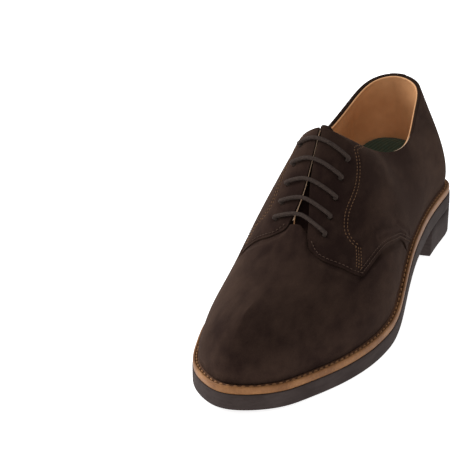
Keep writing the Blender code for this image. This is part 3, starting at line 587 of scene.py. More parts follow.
def fibre_look(name, dark, light, size, roughness):
    """Board, cork, tape, thread or cord: fibres or grains of one size in two tones."""
    look = Look(name, roughness, Specular_IOR_Level=0.2)
    grains = look.noise(size, 4.0)
    spread = look.cells(size * 2.0)
    both = look.sum((grains, 0.7), (spread, 0.3))
    look.colour(look.ramp(both, (0.3, dark), (0.7, light)))
    look.bump(both, size * 0.3, 0.5)
    return look.material


def steel_look():
    look = Look("steel", 0.35, Metallic=1.0)
    brushed = look.noise(0.0006, 3.0, (1.0, 0.1, 1.0))
    look.colour(look.ramp(brushed, (0.3, (0.36, 0.35, 0.34)), (0.7, (0.58, 0.57, 0.55))))
    look.rough(brushed, 0.28, 0.5)
    return look.material


# ---- mesh makers ----

def add_piece(name, verts, faces, materials, body, replaced, places=None):
    mesh = bpy.data.meshes.new(name)
    mesh.from_pydata([tuple(v) for v in verts], [], faces)
    for finish in materials:
        mesh.materials.append(finish)
    if places is not None:
        mesh.polygons.foreach_set("material_index", places)
    mesh.shade_smooth()
    mesh.update()
    piece = bpy.data.objects.new(name, mesh)
    bpy.context.scene.collection.objects.link(piece)
    if replaced:
        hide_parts(*replaced)
    if body:
        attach(piece, body)
    return piece


def polygons(quads):
    """Quads as lists, with repeated corners dropped."""
    kept = []
    for quad in quads.tolist():
        corners = [v for i, v in enumerate(quad) if v not in quad[:i]]
        if len(corners) > 2:
            kept.append(corners)
    return kept


def plate(name, top, bottom, materials, replaced, body="root", edge=ROUND_EDGE, holes=(), soften=None):
    """A closed piece between two grids of world points. edge lists, round its rim, (share of the way from
    top to bottom, reach outward in millimetres); materials are for top, rim and bottom; holes are
    (centre, radius) in metres, each cut right through; soften(points) weighs the vertices to smooth."""
    shape = top.shape[:2]
    _, first, index = np.unique(np.round(top.reshape(-1, 3), 6), axis=0,
                                return_index=True, return_inverse=True)
    index = index.reshape(shape)
    upper = top.reshape(-1, 3)[first].copy()
    lower = bottom.reshape(-1, 3)[first].copy()
    quads = np.stack([index[:-1, :-1], index[1:, :-1], index[1:, 1:], index[:-1, 1:]], -1).reshape(-1, 4)
    for centre, radius in holes:
        inside = np.linalg.norm(upper - centre, axis=1) < radius * 1.15
        cut = inside[quads].any(axis=1)
        rim = np.setdiff1d(np.unique(quads[cut]), np.flatnonzero(inside))
        quads = quads[~cut]
        axis = (upper[rim] - lower[rim]).mean(axis=0)
        axis /= np.linalg.norm(axis)
        flat = upper[rim] - centre
        flat -= (flat @ axis)[:, None] * axis
        shift = flat * (radius / np.linalg.norm(flat, axis=1) - 1.0)[:, None]
        upper[rim] += shift
        lower[rim] += shift
    faces = polygons(quads)
    thick = upper - lower
    thick /= np.maximum(np.linalg.norm(thick, axis=1), 1e-9)[:, None]
    sample = faces[:: max(1, len(faces) // 400)]
    facing = sum(np.dot(np.cross(upper[f[1]] - upper[f[0]], upper[f[2]] - upper[f[0]]), thick[f[0]])
                 for f in sample)
    if facing < 0.0:
        faces = [face[::-1] for face in faces]
    edges = set()
    for face in faces:
        edges.update(zip(face, face[1:] + face[:1]))
    rim_edges = np.array([(a, b) for a, b in edges if (b, a) not in edges])
    if soften is not None:
        upper = smoothed(upper, np.array(list(edges)), rim_edges, soften(upper))
    outward = np.zeros_like(upper)
    run = upper[rim_edges[:, 1]] - upper[rim_edges[:, 0]]
    for k in (0, 1):
        np.add.at(outward, rim_edges[:, k], np.cross(run, thick[rim_edges[:, k]]))
    rim = np.unique(rim_edges)
    outward = unit(outward[rim])
    count = len(upper)
    levels = [upper]
    place = {v: k for k, v in enumerate(rim.tolist())}
    for share, reach in edge:
        levels.append(upper[rim] * (1.0 - share) + lower[rim] * share + outward * reach * MM)
    levels.append(lower)
    verts = np.concatenate(levels)
    starts = [count + k * len(rim) for k in range(len(edge))]
    floor = count + len(edge) * len(rim)
    walls = []
    for a, b in rim_edges.tolist():
        chain_a = [a] + [start + place[a] for start in starts] + [floor + a]
        chain_b = [b] + [start + place[b] for start in starts] + [floor + b]
        for k in range(len(chain_a) - 1):
            walls.append([chain_b[k], chain_a[k], chain_a[k + 1], chain_b[k + 1]])
    under = [[floor + v for v in face[::-1]] for face in faces]
    kinds = (0, min(1, len(materials) - 1), len(materials) - 1)
    places = [kinds[0]] * len(faces) + [kinds[1]] * len(walls) + [kinds[2]] * len(under)
    used = np.zeros(len(verts), bool)
    everything = faces + walls + under
    used[np.concatenate([np.asarray(face) for face in everything])] = True
    renumber = np.cumsum(used) - 1
    everything = [[int(renumber[v]) for v in face] for face in everything]
    return add_piece(name, verts[used], everything, materials, body, replaced, places)


def smoothed(points, edges, rim_edges, weight):
    """Moves points towards their neighbours' average, by a weight from 0 to 1, keeping the rim."""
    weight = weight.copy()
    weight[np.unique(rim_edges)] = 0.0
    for _ in range(40):
        total = np.zeros_like(points)
        count = np.zeros(len(points))
        np.add.at(total, edges[:, 0], points[edges[:, 1]])
        np.add.at(count, edges[:, 0], 1.0)
        mean = total / np.maximum(count, 1.0)[:, None]
        points = points + (mean - points) * (0.5 * weight)[:, None]
    return points


def frames_along(points):
    """Two cross directions that turn as little as they can along world points."""
    tangents = unit(np.gradient(points, axis=0))
    first = np.cross(tangents[0], [0.3, 0.2, 0.9])
    sides = [first / np.linalg.norm(first)]
    for tangent in tangents[1:]:
        side = sides[-1] - tangent * np.dot(sides[-1], tangent)
        sides.append(side / np.linalg.norm(side))
    sides = np.array(sides)
    return sides, np.cross(tangents, sides)


def tube_faces(count, around):
    """The walls and the two end caps of a tube of count rings."""
    faces = []
    for i in range(count - 1):
        for j in range(around):
            m = (j + 1) % around
            faces.append([i * around + j, i * around + m, (i + 1) * around + m, (i + 1) * around + j])
    faces.append(list(range(around))[::-1])
    faces.append([(count - 1) * around + j for j in range(around)])
    return faces


def tube_mesh(points, radii, around=8):
    """Vertices and faces of a tube; radii is (points, around) in metres."""
    side, over = frames_along(points)
    angle = np.linspace(0.0, 2.0 * np.pi, around, endpoint=False)
    ring = side[:, None] * np.cos(angle)[None, :, None] + over[:, None] * np.sin(angle)[None, :, None]
    verts = (points[:, None] + ring * radii[..., None]).reshape(-1, 3)
    return verts, tube_faces(len(points), around)


def stitches(starts, ends, normals, radius, rise=0.18, sides=6, stations=7):
    """Vertices and faces of short threads, each bowed up from one hole and down into the next."""
    share = shares(stations)
    bow = 1.0 - (2.0 * share - 1.0) ** 4
    width = np.sqrt(np.clip(1.0 - (np.abs(2.0 * share - 1.0) * 0.97) ** 6, 0.0, 1.0)) * radius * MM
    along = unit(ends - starts)
    across = unit(np.cross(normals, along))
    up = np.cross(along, across)
    angle = np.linspace(0.0, 2.0 * np.pi, sides, endpoint=False)
    centre = starts[:, None] + (ends - starts)[:, None] * share[None, :, None]
    centre = centre + up[:, None] * ((bow * (rise + radius) - radius) * MM)[None, :, None]
    ring = across[:, None] * np.cos(angle)[None, :, None] + up[:, None] * np.sin(angle)[None, :, None]
    verts = centre[:, :, None] + ring[:, None] * width[None, :, None, None]
    one = tube_faces(stations, sides)
    faces = [[v + k * stations * sides for v in face] for k in range(len(starts)) for face in one]
    return verts.reshape(-1, 3), faces


def thread_piece(name, rows, finish):
    """One object of stitches from rows of (starts, ends, normals)."""
    starts, ends, normals = (np.concatenate([row[k] for row in rows]) for k in range(3))
    verts, faces = stitches(starts, ends, normals, THREAD)
    add_piece(name, verts, faces, [finish], "root", ())


def line_on_upper(side, at, depth=0.0):
    """World points at rows of (t, v) on the upper, with their normals and the direction they run in."""
    points = upper_world(side, at[:, 0], at[:, 1], depth)
    normals = turned_to_world(surface_normal(side, at[:, 0], at[:, 1]))
    return points, normals, unit(np.gradient(points, axis=0))


def seam(side, path, offset=0.0, pitch=SEAM_PITCH, gap=SEAM_GAP, depth=0.0):
    """A row of stitches on the upper along (t, v) points, moved sideways by offset in millimetres."""
    spots = shares(600)
    points, normals, along = line_on_upper(side, line_through(path)(spots), depth)
    points = points + np.cross(normals, along) * offset * MM
    line, share = even_line(points, pitch * MM)
    normals = np.stack([np.interp(share, spots, normals[:, k]) for k in range(3)], -1)
    run = np.diff(line, axis=0)
    cut = 0.5 * gap / pitch
    return line[:-1] + run * cut, line[1:] - run * cut, unit(0.5 * (normals[1:] + normals[:-1]))


def near_line(points, line, width):
    """A bell from 1 on a world polyline to 0 away from it, over a width in millimetres."""
    flat = points.reshape(-1, 3)
    nearest = np.full(len(flat), np.inf)
    for spot in line:
        nearest = np.minimum(nearest, ((flat - spot) ** 2).sum(axis=1))
    return np.exp(-nearest / (width * MM) ** 2).reshape(points.shape[:-1])


def seam_line(side, path, offset=0.0):
    """World points along (t, v) points on the upper, moved sideways by offset in millimetres."""
    points, normals, along = line_on_upper(side, line_through(path)(shares(160)))
    return points + np.cross(normals, along) * offset * MM


# ---- the camera, floor and light ----

def place_camera():
    turn, rise, roll = np.radians([CAMERA_TURN, CAMERA_RISE, CAMERA_ROLL])
    back = np.array([np.sin(turn) * np.cos(rise), -np.cos(turn) * np.cos(rise), np.sin(rise)])
    target = np.array(CAMERA_TARGET)
    spot = target + back * CAMERA_DISTANCE
    across = np.cross(-back, [0.0, 0.0, 1.0])
    across /= np.linalg.norm(across)
    aim = target + across * CAMERA_AIM[0] + np.cross(across, -back) * CAMERA_AIM[1]
    forward = (aim - spot) / np.linalg.norm(aim - spot)
    right = np.cross(forward, [0.0, 0.0, 1.0])
    right /= np.linalg.norm(right)
    up = np.cross(right, forward)
    rolled = right * np.cos(roll) + up * np.sin(roll)
    up = up * np.cos(roll) - right * np.sin(roll)
    camera = bpy.data.objects.new("camera", bpy.data.cameras.new("camera"))
    camera.data.lens = CAMERA_LENS
    camera.data.sensor_width = 36.0
    camera.data.clip_start = 0.05
    matrix = np.eye(4)
    matrix[:3, :3] = np.stack([rolled, up, -forward], -1)
    matrix[:3, 3] = spot
    camera.matrix_world = Matrix(matrix.tolist())
    bpy.context.scene.collection.objects.link(camera)
    bpy.context.scene.camera = camera


def light_panel(name, spot, aim, size, power):
    data = bpy.data.lights.new(name, "AREA")
    data.shape = "RECTANGLE"
    data.size, data.size_y = size
    data.energy = power
    lamp = bpy.data.objects.new(name, data)
    lamp.location = spot
    lamp.rotation_euler = (Vector(spot) - Vector(aim)).to_track_quat("Z", "Y").to_euler()
    bpy.context.scene.collection.objects.link(lamp)


def make_studio():
    scene = bpy.context.scene
    scene.view_settings.view_transform = "Standard"
    world = bpy.data.worlds.new("studio")
    world.use_nodes = True
    background = world.node_tree.nodes["Background"].inputs
    background["Color"].default_value = (1.0, 1.0, 1.0, 1.0)
    background["Strength"].default_value = WORLD_STRENGTH
    scene.world = world
    mesh = bpy.data.meshes.new("floor")
    signs = ((-1, -1), (1, -1), (1, 1), (-1, 1))
    mesh.from_pydata([(x * FLOOR_REACH, y * FLOOR_REACH, FLOOR_LEVEL) for x, y in signs], [], [(0, 1, 2, 3)])
    look = Look("floor", 0.9)
    look.colour(look.ramp(look.noise(0.4, 2.0), (0.3, (0.86, 0.86, 0.86)), (0.7, (0.88, 0.88, 0.88))))
    look.shader.inputs["Emission Color"].default_value = (1.0, 1.0, 1.0, 1.0)
    look.shader.inputs["Emission Strength"].default_value = FLOOR_GLOW
    mesh.materials.append(look.material)
    floor = bpy.data.objects.new("floor", mesh)
    scene.collection.objects.link(floor)
    for row in LIGHTS:
        light_panel(*row)


# ---- the lace ----

def eyelet(side, number, depth):
    t, v = EYELETS[side][number - 1]
    return upper_point(side, t, v, depth)


def through(side, number, outward):
    points = [eyelet(side, number, depth) for depth in (LACE_UNDER, 4.7, -0.7, -LACE_REST)]
    return points if outward else points[::-1]


def bar(side, number):
    t0, v0 = EYELETS[side][number - 1]
    t1, v1 = EYELETS[-side][number - 1]
    points = []
    for share in (0.25, 0.5, 0.75):
        half = side if share < 0.5 else -side
        v = v0 + (1.0 - v0) * share * 2 if share < 0.5 else 1.0 - (1.0 - v1) * (share * 2 - 1)
        points.append(upper_point(half, t0 + (t1 - t0) * share, min(v, 0.998), -LACE_REST))
    return points


def under(side, start, end, shift):
    t0, v0 = EYELETS[side][start - 1]
    t1, v1 = EYELETS[side][end - 1]
    return [upper_point(side, t0 + (t1 - t0) * share, v0 + (v1 - v0) * share + shift, LACE_UNDER)
            for share in (0.3, 0.7)]


def tail(side, number, end):
    t0, v0 = EYELETS[side][number - 1]
    route = [(t0 + 0.004, v0 - 0.09), (0.655, 0.56), (0.672, 0.44), (0.695, 0.32), (0.728, 0.23),
             (0.77, 0.185), (0.82, 0.175), (0.865, 0.18), (0.905, 0.19), (0.945, 0.20)]
    route = [(t, v) for t, v in route if t <= end]
    inward = [LACE_UNDER + 0.3] * (len(route) - 2) + [LACE_UNDER + 1.5, LACE_UNDER + 5.0]
    return [upper_point(side, t, v, depth) for (t, v), depth in zip(route, inward)]


def lace_route():
    """The whole lace, end to end, over and under the facings, with both ends tucked inside."""
    side = INNER
    route = tail(side, LACE_ORDER[0], LACE_ENDS[0])[::-1]
    for number, following, shift in zip(LACE_ORDER, LACE_ORDER[1:] + [None], UNDER_SHIFTS + [None]):
        route += through(side, number, True) + bar(side, number) + through(-side, number, False)
        if following:
            route += under(-side, number, following, shift)
        side = -side
    route += tail(side, LACE_ORDER[-1], LACE_ENDS[1])
    return to_world(np.array(route))


def make_lace():
    """A round braided lace: strands that cross in two directions."""
    route = lace_route()
    knots = root_knots(route)
    fine = spline(knots, route)(np.linspace(0.0, knots[-1], 6000))
    line, _ = even_line(fine, LACE_STEP * MM)
    around = 16
    angle = LACE_STRANDS * np.linspace(0.0, 2.0 * np.pi, around, endpoint=False)[None]
    along = np.arange(len(line))[:, None] * LACE_STEP
    lay = 2.0 * np.pi * along / LACE_LAY * LACE_STRANDS
    strands = np.abs(np.sin(angle + lay)) * np.abs(np.sin(angle - lay))
    radii = (LACE_RADIUS - 0.20 + STRAND_HEIGHT * strands) * MM
    verts, faces = tube_mesh(line, radii, around)
    cord = fibre_look("lace_cord", (0.026, 0.017, 0.014), (0.058, 0.040, 0.032), 0.0006, 0.9)
    add_piece("braided_lace", verts, faces, [cord], "root", ("lace",))


# ---- patches of the upper ----

def coons(bottom, top, front, columns, rows, back_t=0.0):
    """(t, v) over a patch between a bottom and a top line, its back at back_t and its front line."""
    u = shares(columns + 1)
    w = shares(rows + 1)
    low, high, end = bottom(u), top(u), front(w)
    start = np.stack([np.full_like(w, back_t), w], -1)
    u, w = u[:, None, None], w[None, :, None]
    ruled = (1 - w) * low[:, None] + w * high[:, None]
    ends = (1 - u) * start[None] + u * end[None]
    low_corners = (1 - u) * start[0] + u * end[0]
    high_corners = (1 - u) * start[-1] + u * end[-1]
    return ruled + ends - (1 - w) * low_corners - w * high_corners


def facing_top(back_t, end):
    heel = [(back_t + (FACING_CORNER[0][0] - back_t) * k / 6, 1.0) for k in range(6)]
    return line_through(heel + FACING_CORNER + FACING_EDGE[:-1] + [end])


def quarter_patch(side, columns=270, rows=110, back_t=0.0016):
    edge = QUARTER_EDGE[side]
    seam_points = side_seam_path(side)
    welt = [(back_t + (seam_points[0][0] - back_t) * k / 5, 0.0) for k in range(5)]
    front = line_through([(t, v) for v, t in edge[5:]])
    return coons(line_through(welt + seam_points), facing_top(back_t, edge[-1][::-1]), front, columns, rows,
                 back_t)


def lining_patch(columns=240, rows=90):
    bottom = line_through([(0.60 * k / 6, 0.0) for k in range(7)])
    front = line_through([(0.600, 0.0), (0.632, 0.45), (0.672, 0.64), (0.682, 0.91)])
    return coons(bottom, facing_top(0.0, (0.682, 0.910)), front, columns, rows)


def quarter_front(side, v):
    rows = QUARTER_EDGE[side] + [(1.0, 0.655)]
    return np.interp(v, [row[0] for row in rows], [row[1] for row in rows])


def side_seam_path(side):
    """The front edge of a quarter from the welt up to its corner, as (t, v)."""
    return [(t, v) for v, t in QUARTER_EDGE[side][:6]]


def front_edge_path(side):
    """The front edge of a quarter from its lower corner to its throat, as (t, v)."""
    return [(t, v) for v, t in QUARTER_EDGE[side][5:-1]]


def folds(points):
    """How far the worn suede stands out, in millimetres, at world points: slow, shallow unevenness."""
    x, y, z = (points[..., k] / MM for k in range(3))
    slow = np.sin(x / 17.0 + 1.3) * np.sin(y / 23.0 + 0.4) + 0.6 * np.sin(y / 11.0 + z / 13.0)
    return 0.14 * slow


def make_quarter(side, suede, edge, thread, dark_thread):
    name = SIDE_NAME[side]
    patch = quarter_patch(side)
    t, v = patch[..., 0], patch[..., 1]
    points = upper_world(side, t, v)
    rim = np.minimum(1.0, np.linspace(0.0, 14.0, patch.shape[1])[None] * np.ones_like(t))
    depth = -folds(points) * rim * smoothstep(v / 0.12)

    def groove(line, size):
        return size[0] * near_line(points, line, size[1])

    seams = [(FACING_SEAM[side], 0.0), (BAR_TACK[side], 0.0), (side_seam_path(side), SIDE_SEAM_GROOVE),
             (front_edge_path(side), FRONT_EDGE_ROW)]
    for path, offset in seams:
        depth = depth + groove(seam_line(side, path, offset * side), SEAM_GROOVE)
    if side == OUTER:
        for crease in CREASES:
            line = seam_line(side, crease)
            depth = depth + groove(line, CREASE_GROOVE) - groove(line, CREASE_ROLL)
    for number in range(1, 6):
        centre = to_world(eyelet(side, number, 0.0))
        away = np.linalg.norm(points - centre, axis=-1) / MM
        depth = depth + EYELET_DIMPLE[0] * np.exp(-(away / EYELET_DIMPLE[1]) ** 2)
    free_edge = np.concatenate([seam_line(side, path(side)) for path in (side_seam_path, front_edge_path)])
    skived = near_line(points, free_edge, SKIVED_EDGE[1])
    depth = depth + SKIVED_EDGE[0] * skived
    top = upper_world(side, t, v, depth)
    rolled = smoothstep((v - 0.955) / 0.03) * smoothstep((0.30 - t) / 0.14)
    bottom = upper_world(side, t, v, depth + UPPER_THICKNESS - SKIVED_AWAY * skived + rolled)
    holes = [(to_world(eyelet(side, number, 0.3)), HOLE_RADIUS * MM) for number in range(1, 6)]
    plate(f"suede_quarter_{name}", top, bottom, [suede, edge, edge], (f"quarter_{name}",),
          holes=holes)

    rows = [seam(side, FACING_SEAM[side], offset, depth=SEAM_SUNK) for offset in (-1.0, 1.0)]
    rows += [seam(side, BAR_TACK[side], offset, 1.9, 0.6, SEAM_SUNK) for offset in (-1.6, 0.0, 1.6)]
    thread_piece(f"facing_stitches_{name}", rows, thread)
    rows = [seam(side, side_seam_path(side), offset * side, depth=0.24) for offset in SIDE_SEAM_ROWS]
    rows.append(seam(side, front_edge_path(side), FRONT_EDGE_ROW * side, depth=SEAM_SUNK))
    thread_piece(f"edge_stitches_{name}", rows, dark_thread)


def make_vamp(suede, edge):
    """The vamp: at its rear it dips under the quarters."""
    grids = {}
    heights = shares(111)
    for side in (OUTER, INNER):
        back = np.interp(heights, *zip(*VAMP_BACK[side]))
        share = shares(171)
        t = back[:, None] + (1.0 - back[:, None]) * share
        v = np.broadcast_to(heights[:, None], t.shape)
        under_quarter = 1.0 - smoothstep((t - quarter_front(side, v) - 0.003) / 0.020)
        points = upper_world(side, t, v)
        depth = TUCK_DEPTH * under_quarter - folds(points) * (1.0 - under_quarter) * smoothstep(v / 0.12)
        grids[side] = [upper_world(side, t, v, depth + more) for more in (0.0, UPPER_THICKNESS)]
    layers = []
    for k in (0, 1):
        outer, inner = grids[OUTER][k], grids[INNER][k]
        middle = 0.5 * (outer[:, -1] + inner[:, -1])
        outer[:, -1] = inner[:, -1] = middle
        outer[-1] = inner[-1] = 0.5 * (outer[-1] + inner[-1])
        layers.append(np.concatenate([outer, inner[:, -2::-1]], axis=1))
    pole = upper_world(OUTER, 1.0, 0.999)

    def soften(points):
        return np.exp(-(np.linalg.norm(points - pole, axis=1) / 0.022) ** 2)

    plate("suede_vamp", layers[0], layers[1], [suede, edge, edge], ("vamp",), soften=soften)


def join_heel(outer, inner):
    """One grid from an outer and an inner half that both start at the back of the heel."""
    outer[0] = inner[0] = 0.5 * (outer[0] + inner[0])
    return np.concatenate([inner[::-1], outer[1:]])


def towards_heel(points):
    """From 0 beside the facings to 1 round the heel, at world points, as a column."""
    return smoothstep((points[:, 1] / MM - 55.0) / 60.0)[:, None]


def make_lining(tan, rim, cut_edge):
    """The tan lining of the quarters, and its light cut edge along the topline and down the inner facing."""
    patch = lining_patch()
    t, v = patch[..., 0], patch[..., 1]
    w = np.broadcast_to(shares(patch.shape[1]), t.shape)
    over_heel = smoothstep((0.34 - t) / 0.16)
    rise = LINING_RISE - HEEL_LINING_DROP * over_heel
    rise = rise * smoothstep((w - 0.62) / 0.36) * smoothstep((0.668 - t) / 0.014)
    halves = {}
    for side in (OUTER, INNER):
        points = upper_world(side, t, v)
        ripple = 0.25 * np.sin(points[..., 1] / MM / 9.0 + 2.0 * side) * np.sin(points[..., 2] / MM / 14.0)
        depth = LINING_DEPTH - rise + ripple * (1.0 - w) * smoothstep(v / 0.2)
        halves[side] = [upper_world(side, t, v, depth + more) for more in (0.0, LINING_THICKNESS)]
    top, bottom = (join_heel(halves[OUTER][k], halves[INNER][k]) for k in (0, 1))
    plate("lining_of_quarters", top, bottom, [rim, tan, tan], ("quarter_lining",))
    edge_line = []
    for side in (INNER, OUTER):
        at = facing_top(0.0, (0.662, 0.924))(shares(700))
        if side == OUTER:
            at = at[at[:, 0] < 0.466]
        line, normals, along = line_on_upper(side, at, 1.5)
        line = line + np.cross(along, normals) * side * (BEAD_OUT - 0.9 * towards_heel(line)) * MM
        edge_line.append(line[::-1] if side == INNER else line[1:])
    line, _ = even_line(np.concatenate(edge_line), 0.0008)
    radii = np.tile((BEAD_RADIUS - 0.20 * towards_heel(line)) * MM, (1, 8))
    verts, faces = tube_mesh(line, radii)
    add_piece("lining_cut_edge", verts, faces, [cut_edge], "root", ())


def backstay_share(v):
    """The backstay's width at a height, as a share of its width at the welt."""
    return 0.62 + 0.38 * smoothstep((0.85 - v) / 0.5)


def make_backstay(suede, edge, thread):
    t = np.linspace(0.030, 0.0, 22)[:, None]
    v = np.linspace(0.012, 0.978, 130)[None]
    width = backstay_share(v)
    layers = []
    for depth in (-BACKSTAY_RISE, -0.10):
        halves = [upper_world(side, t * width, v + 0.0 * t, depth) for side in (OUTER, INNER)]
        halves[0][-1] = halves[1][-1] = 0.5 * (halves[0][-1] + halves[1][-1])
        layers.append(np.concatenate([halves[0], halves[1][-2::-1]]))
    plate("suede_backstay", layers[0], layers[1], [suede, edge, edge], ("backstay",))
    rows = []
    for side in (OUTER, INNER):
        path = [(0.026 * float(backstay_share(v)), v) for v in np.linspace(0.03, 0.96, 9)]
        rows.append(seam(side, path, depth=-1.12))
        for v in (0.885, 0.860):
            rows.append(seam(side, [(0.001, v), (0.008, v), (0.0158, v)], depth=-1.12, pitch=1.8))
    thread_piece("backstay_stitches", rows, thread)


def tongue_layer(extra, inset, rows=70, columns=24):
    """A face of the tongue in world points: extra further in, narrower by inset, with a crowned top."""
    t = np.linspace(TONGUE_TOP_T, TONGUE_BASE_T, rows)
    width = 0.20 + 0.13 * smoothstep((0.70 - t) / 0.18) - inset
    depth = TONGUE_DEPTH - (TONGUE_DEPTH - TONGUE_BASE_DEPTH) * smoothstep((t - 0.680) / 0.040) + extra
    v = 1.0 - width[:, None] * np.linspace(1.0, 0.0, columns)[None]
    ridged = smoothstep((v - 0.82) / 0.13)
    depth = depth[:, None] - ridged * (2.6 + 2.4 * smoothstep((0.545 - t[:, None]) / 0.035))
    sides = [upper_point(side, t[:, None] + 0.0 * v, v, depth) for side in (OUTER, INNER)]
    middle = 0.5 * (sides[0][:, -1] + sides[1][:, -1])
    grid = np.concatenate([sides[0][:, :-1], middle[:, None], sides[1][:, -2::-1]], axis=1)
    step = (grid[0] - grid[1]).mean(axis=0)
    step /= np.linalg.norm(step)
    crown = 1.0 - 0.75 * np.linspace(-1.0, 1.0, grid.shape[1])[:, None] ** 2
    above = [grid[0] + step * rise * crown for rise in np.linspace(TONGUE_CROWN - inset * 60.0, 0.5, 18)]
    return to_world(np.concatenate([np.array(above), grid]))


def make_tongue(suede, tan, edge):
    """The tongue and its lining, which bend where they are sewn to the vamp."""
    outer = tongue_layer(0.0, 0.0)
    middle = tongue_layer(UPPER_THICKNESS, 0.0)
    piece = plate("suede_tongue", outer, middle, [suede, edge, edge], ("tongue",), body=None)
    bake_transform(piece)
    top, bottom = (tongue_layer(UPPER_THICKNESS + more, 0.006) for more in (0.15, 0.95))
    piece = plate("lining_of_tongue", top, bottom, [tan, edge, tan], ("tongue_lining",),
                  body=None)
    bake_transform(piece)


# ---- the bottom ----

def bottom_grid(inset, height, rows, columns, end=1.0):
    """World points over the sole's outline, set in, at a height that is a function of x and station."""
    t = end * (1.0 - np.cos(np.pi * shares(rows + 1))) / 2.0
    if end < 1.0:
        t = end * (1.0 - np.cos(0.5 * np.pi * shares(rows + 1)))
    across = shares(columns + 1)
    outer = np.stack(outline(OUTER, t, inset)[:2], -1)[:, None]
    inner = np.stack(outline(INNER, t, inset)[:2], -1)[:, None]
    flat = outer + (inner - outer) * across[None, :, None]
    flat[0] = flat[0].mean(axis=0)
    if end == 1.0:
        flat[-1] = flat[-1].mean(axis=0)
    z = height(flat[..., 0], flat[..., 1])
    return to_world(np.concatenate([flat, z[..., None]], -1))


def tread(x, station):
    """Depth of the sole's tread: slanting grooves in the forepart and the heel, inside a plain border."""
    nearest = np.full(np.shape(x), np.inf)
    for side in (OUTER, INNER):
        for spot in OUTLINE[side][1][::40]:
            nearest = np.minimum(nearest, np.hypot(x - spot[0], station - spot[1]))
    inside = smoothstep((nearest - TREAD_BORDER) / 1.2)
    zones = smoothstep((station - 175.0) / 3.0) + smoothstep((58.0 - station) / 3.0)
    groove = smoothstep((np.cos(2.0 * np.pi * (station + 0.25 * np.abs(x)) / TREAD_PITCH) - 0.45) / 0.3)
    return TREAD_DEPTH * inside * zones * groove


def make_sole(rubber):
    def sole_under(x, station):
        return sole_bottom(station) + tread(x, station) * (station > 80.0)

    top = bottom_grid(0.5, lambda x, station: sole_top(station), 300, 50)
    low = bottom_grid(0.5, sole_under, 300, 50)
    plate("rubber_sole", top, low, [rubber], ("outsole",), edge=SQUARE_EDGE)
    heel_end = np.interp(HEEL_LENGTH, OUTLINE[OUTER][1][:, 1], OUTLINE[OUTER][0])
    top = bottom_grid(0.55, lambda x, station: HEEL_LIFT + 0.0 * x, 110, 60, heel_end)
    low = bottom_grid(1.3, tread, 110, 60, heel_end)
    plate("rubber_heel", top, low, [rubber], ("heel_block", "heel_top_piece"), edge=HEEL_EDGE)


def make_welt(welt, channel, thread):
    """The welt round the whole shoe, with a hollow for its stitches and a hole between each two."""
    turns = {}
    for side in (OUTER, INNER):
        share = shares(3000)
        x, station = outline(side, share, STITCH_INSET)[:2]
        length = np.r_[0.0, np.cumsum(np.hypot(np.diff(x), np.diff(station)))]
        turns[side] = (share, length)
    whole = turns[OUTER][1][-1] + turns[INNER][1][-1]
    count = int(round(whole / WELT_PITCH))
    pitch = whole / count

    def rim_place(distance):
        """side and t at distances round the stitch line, from the heel over the outer side."""
        outer_length = turns[OUTER][1][-1]
        ahead = np.interp(distance, turns[OUTER][1], turns[OUTER][0])
        back = np.interp(whole - distance, turns[INNER][1], turns[INNER][0])
        return distance < outer_length, ahead, back

    def ring_points(distance, inset, height):
        is_outer, ahead, back = rim_place(distance)
        first = np.stack(outline(OUTER, ahead, inset)[:2], -1)
        second = np.stack(outline(INNER, back, inset)[:2], -1)
        flat = np.where(is_outer[:, None], first, second)
        z = sole_top(flat[:, 1]) + height
        return to_world(np.concatenate([flat, z[:, None]], -1))

    steps = count * 9
    distance = np.arange(steps) * whole / steps
    hole_depth, hole_length, hole_width = WELT_HOLE
    hole = np.exp(-(((distance / pitch + 0.5) % 1.0 - 0.5) * pitch / hole_length) ** 2)
    rings = []
    for inset, height in WELT_SECTION:
        depth = hole_depth * np.exp(-((inset - STITCH_INSET) / hole_width) ** 2) * (height > 3.0)
        rings.append(ring_points(distance, inset, height - depth * hole))
    verts = np.stack(rings, 1).reshape(-1, 3)
    around = len(WELT_SECTION)
    faces = []
    places = []
    for i in range(steps):
        k = (i + 1) % steps
        for j in range(around):
            m = (j + 1) % around
            faces.append([i * around + j, k * around + j, k * around + m, i * around + m])
            # Faces in CHANNEL_SPAN take the second material, a darker leather that paints the shade in the
            # groove beside the upper.
            places.append(int(CHANNEL_SPAN[0] <= j <= CHANNEL_SPAN[1]))
    add_piece("stitched_welt", verts, faces, [welt, channel], "root", ("welt",), places)
    starts, ends = (ring_points((np.arange(count) + share) * pitch, STITCH_INSET, STITCH_HEIGHT)
                    for share in STITCH_SPAN)
    normals = np.tile([0.0, 0.0, 1.0], (count, 1))
    verts, faces = stitches(starts, ends, normals, STITCH_RADIUS, rise=STITCH_RISE, sides=8, stations=9)
    add_piece("welt_stitches", verts, faces, [thread], "root", ("welt_thread",))


def make_sock(sock):
    """The sock lining: flat over the forepart, raised over the heel and cupped up at its back."""
    def height(rise):
        def at(x, station):
            raised = SOCK_LIFT * smoothstep((92.0 - station) / 14.0)
            return sole_top(station) + rise + raised + SOCK_CUP * smoothstep((CUP_STATION - station) / 17.0)
        return at

    top, low = (bottom_grid(SOCK_INSET, height(rise), 200, 50) for rise in (SOCK_TOP, SOCK_UNDER))
    plate("green_sock_lining", top, low, [sock], ("sock_liner",), edge=SOCK_EDGE)


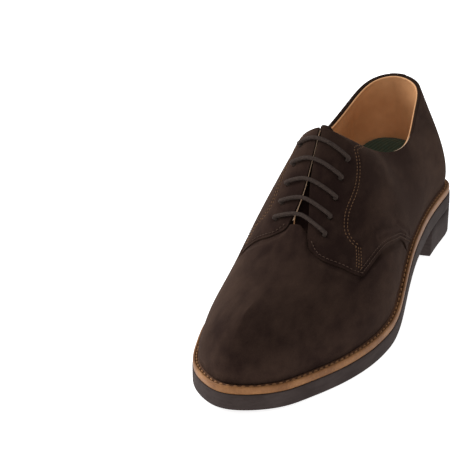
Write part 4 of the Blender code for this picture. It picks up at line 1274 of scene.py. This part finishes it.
# The looks of the parts inside, by slot: dark tone, light tone, size of grain and roughness.
INNER_LOOKS = {
    "fibre_board": ((0.28, 0.19, 0.10), (0.50, 0.37, 0.23), 0.0015, 0.85),
    "stay_tape": ((0.36, 0.34, 0.29), (0.55, 0.53, 0.47), 0.0008, 0.9),
    "cork": ((0.20, 0.10, 0.045), (0.50, 0.31, 0.16), 0.0030, 0.9),
    "foam": ((0.48, 0.43, 0.31), (0.66, 0.60, 0.46), 0.0010, 0.95),
    "aglet_plastic": ((0.016, 0.012, 0.010), (0.035, 0.026, 0.022), 0.0020, 0.3),
}


def dress_inner_nodes():
    """The parts inside the shoe keep their CAD shapes and get grained materials by slot."""
    finishes = {name: fibre_look(name, *row) for name, row in INNER_LOOKS.items()}
    finishes["tan_leather"] = bpy.data.materials["tan_leather"]
    finishes["steel"] = steel_look()
    for row in frame["record"]["subparts"]:
        finish = finishes.get(row["material_slot"])
        if finish is None:
            continue
        for slot in frame["nodes"][row["node"]].material_slots:
            slot.material = finish


def main():
    place_camera()
    make_lace()
    # Both suede looks carry painted light from suede_look: lighter on the inner side, darker on the outer
    # side.
    suede = suede_look("suede", (0.0150, 0.0078, 0.0066), (0.0400, 0.0232, 0.0170))
    edge = suede_look("suede_edge", (0.013, 0.007, 0.005), (0.024, 0.014, 0.010))
    tan = smooth_leather_look("tan_leather", (0.60, 0.290, 0.125), (0.78, 0.420, 0.200), 0.5)
    cut_edge = smooth_leather_look("cut_leather_edge", (0.50, 0.33, 0.21), (0.72, 0.53, 0.38), 0.7)
    thread = fibre_look("seam_thread", (0.085, 0.042, 0.020), (0.170, 0.090, 0.045), 0.0005, 0.75)
    dark_thread = fibre_look("edge_thread", (0.040, 0.022, 0.014), (0.085, 0.050, 0.034), 0.0005, 0.8)
    welt_thread = fibre_look("welt_thread_wax", (0.26, 0.12, 0.050), (0.42, 0.21, 0.095), 0.0007, 0.6)
    for side in (OUTER, INNER):
        make_quarter(side, suede, edge, thread, dark_thread)
    make_vamp(suede, edge)
    make_lining(tan, edge, cut_edge)
    make_backstay(suede, edge, thread)
    make_tongue(suede, tan, edge)
    make_sole(rubber_look())
    # The welt's stitch groove next to the upper gets this darker leather as painted shade where the upper
    # meets the welt.
    channel = smooth_leather_look("welt_channel_painted_shade", (0.070, 0.028, 0.012), (0.130, 0.055, 0.024), 0.75)
    make_welt(welt_look(), channel, welt_thread)
    make_sock(sock_look())
    dress_inner_nodes()
    make_studio()


main()

bpy.context.view_layer.update()
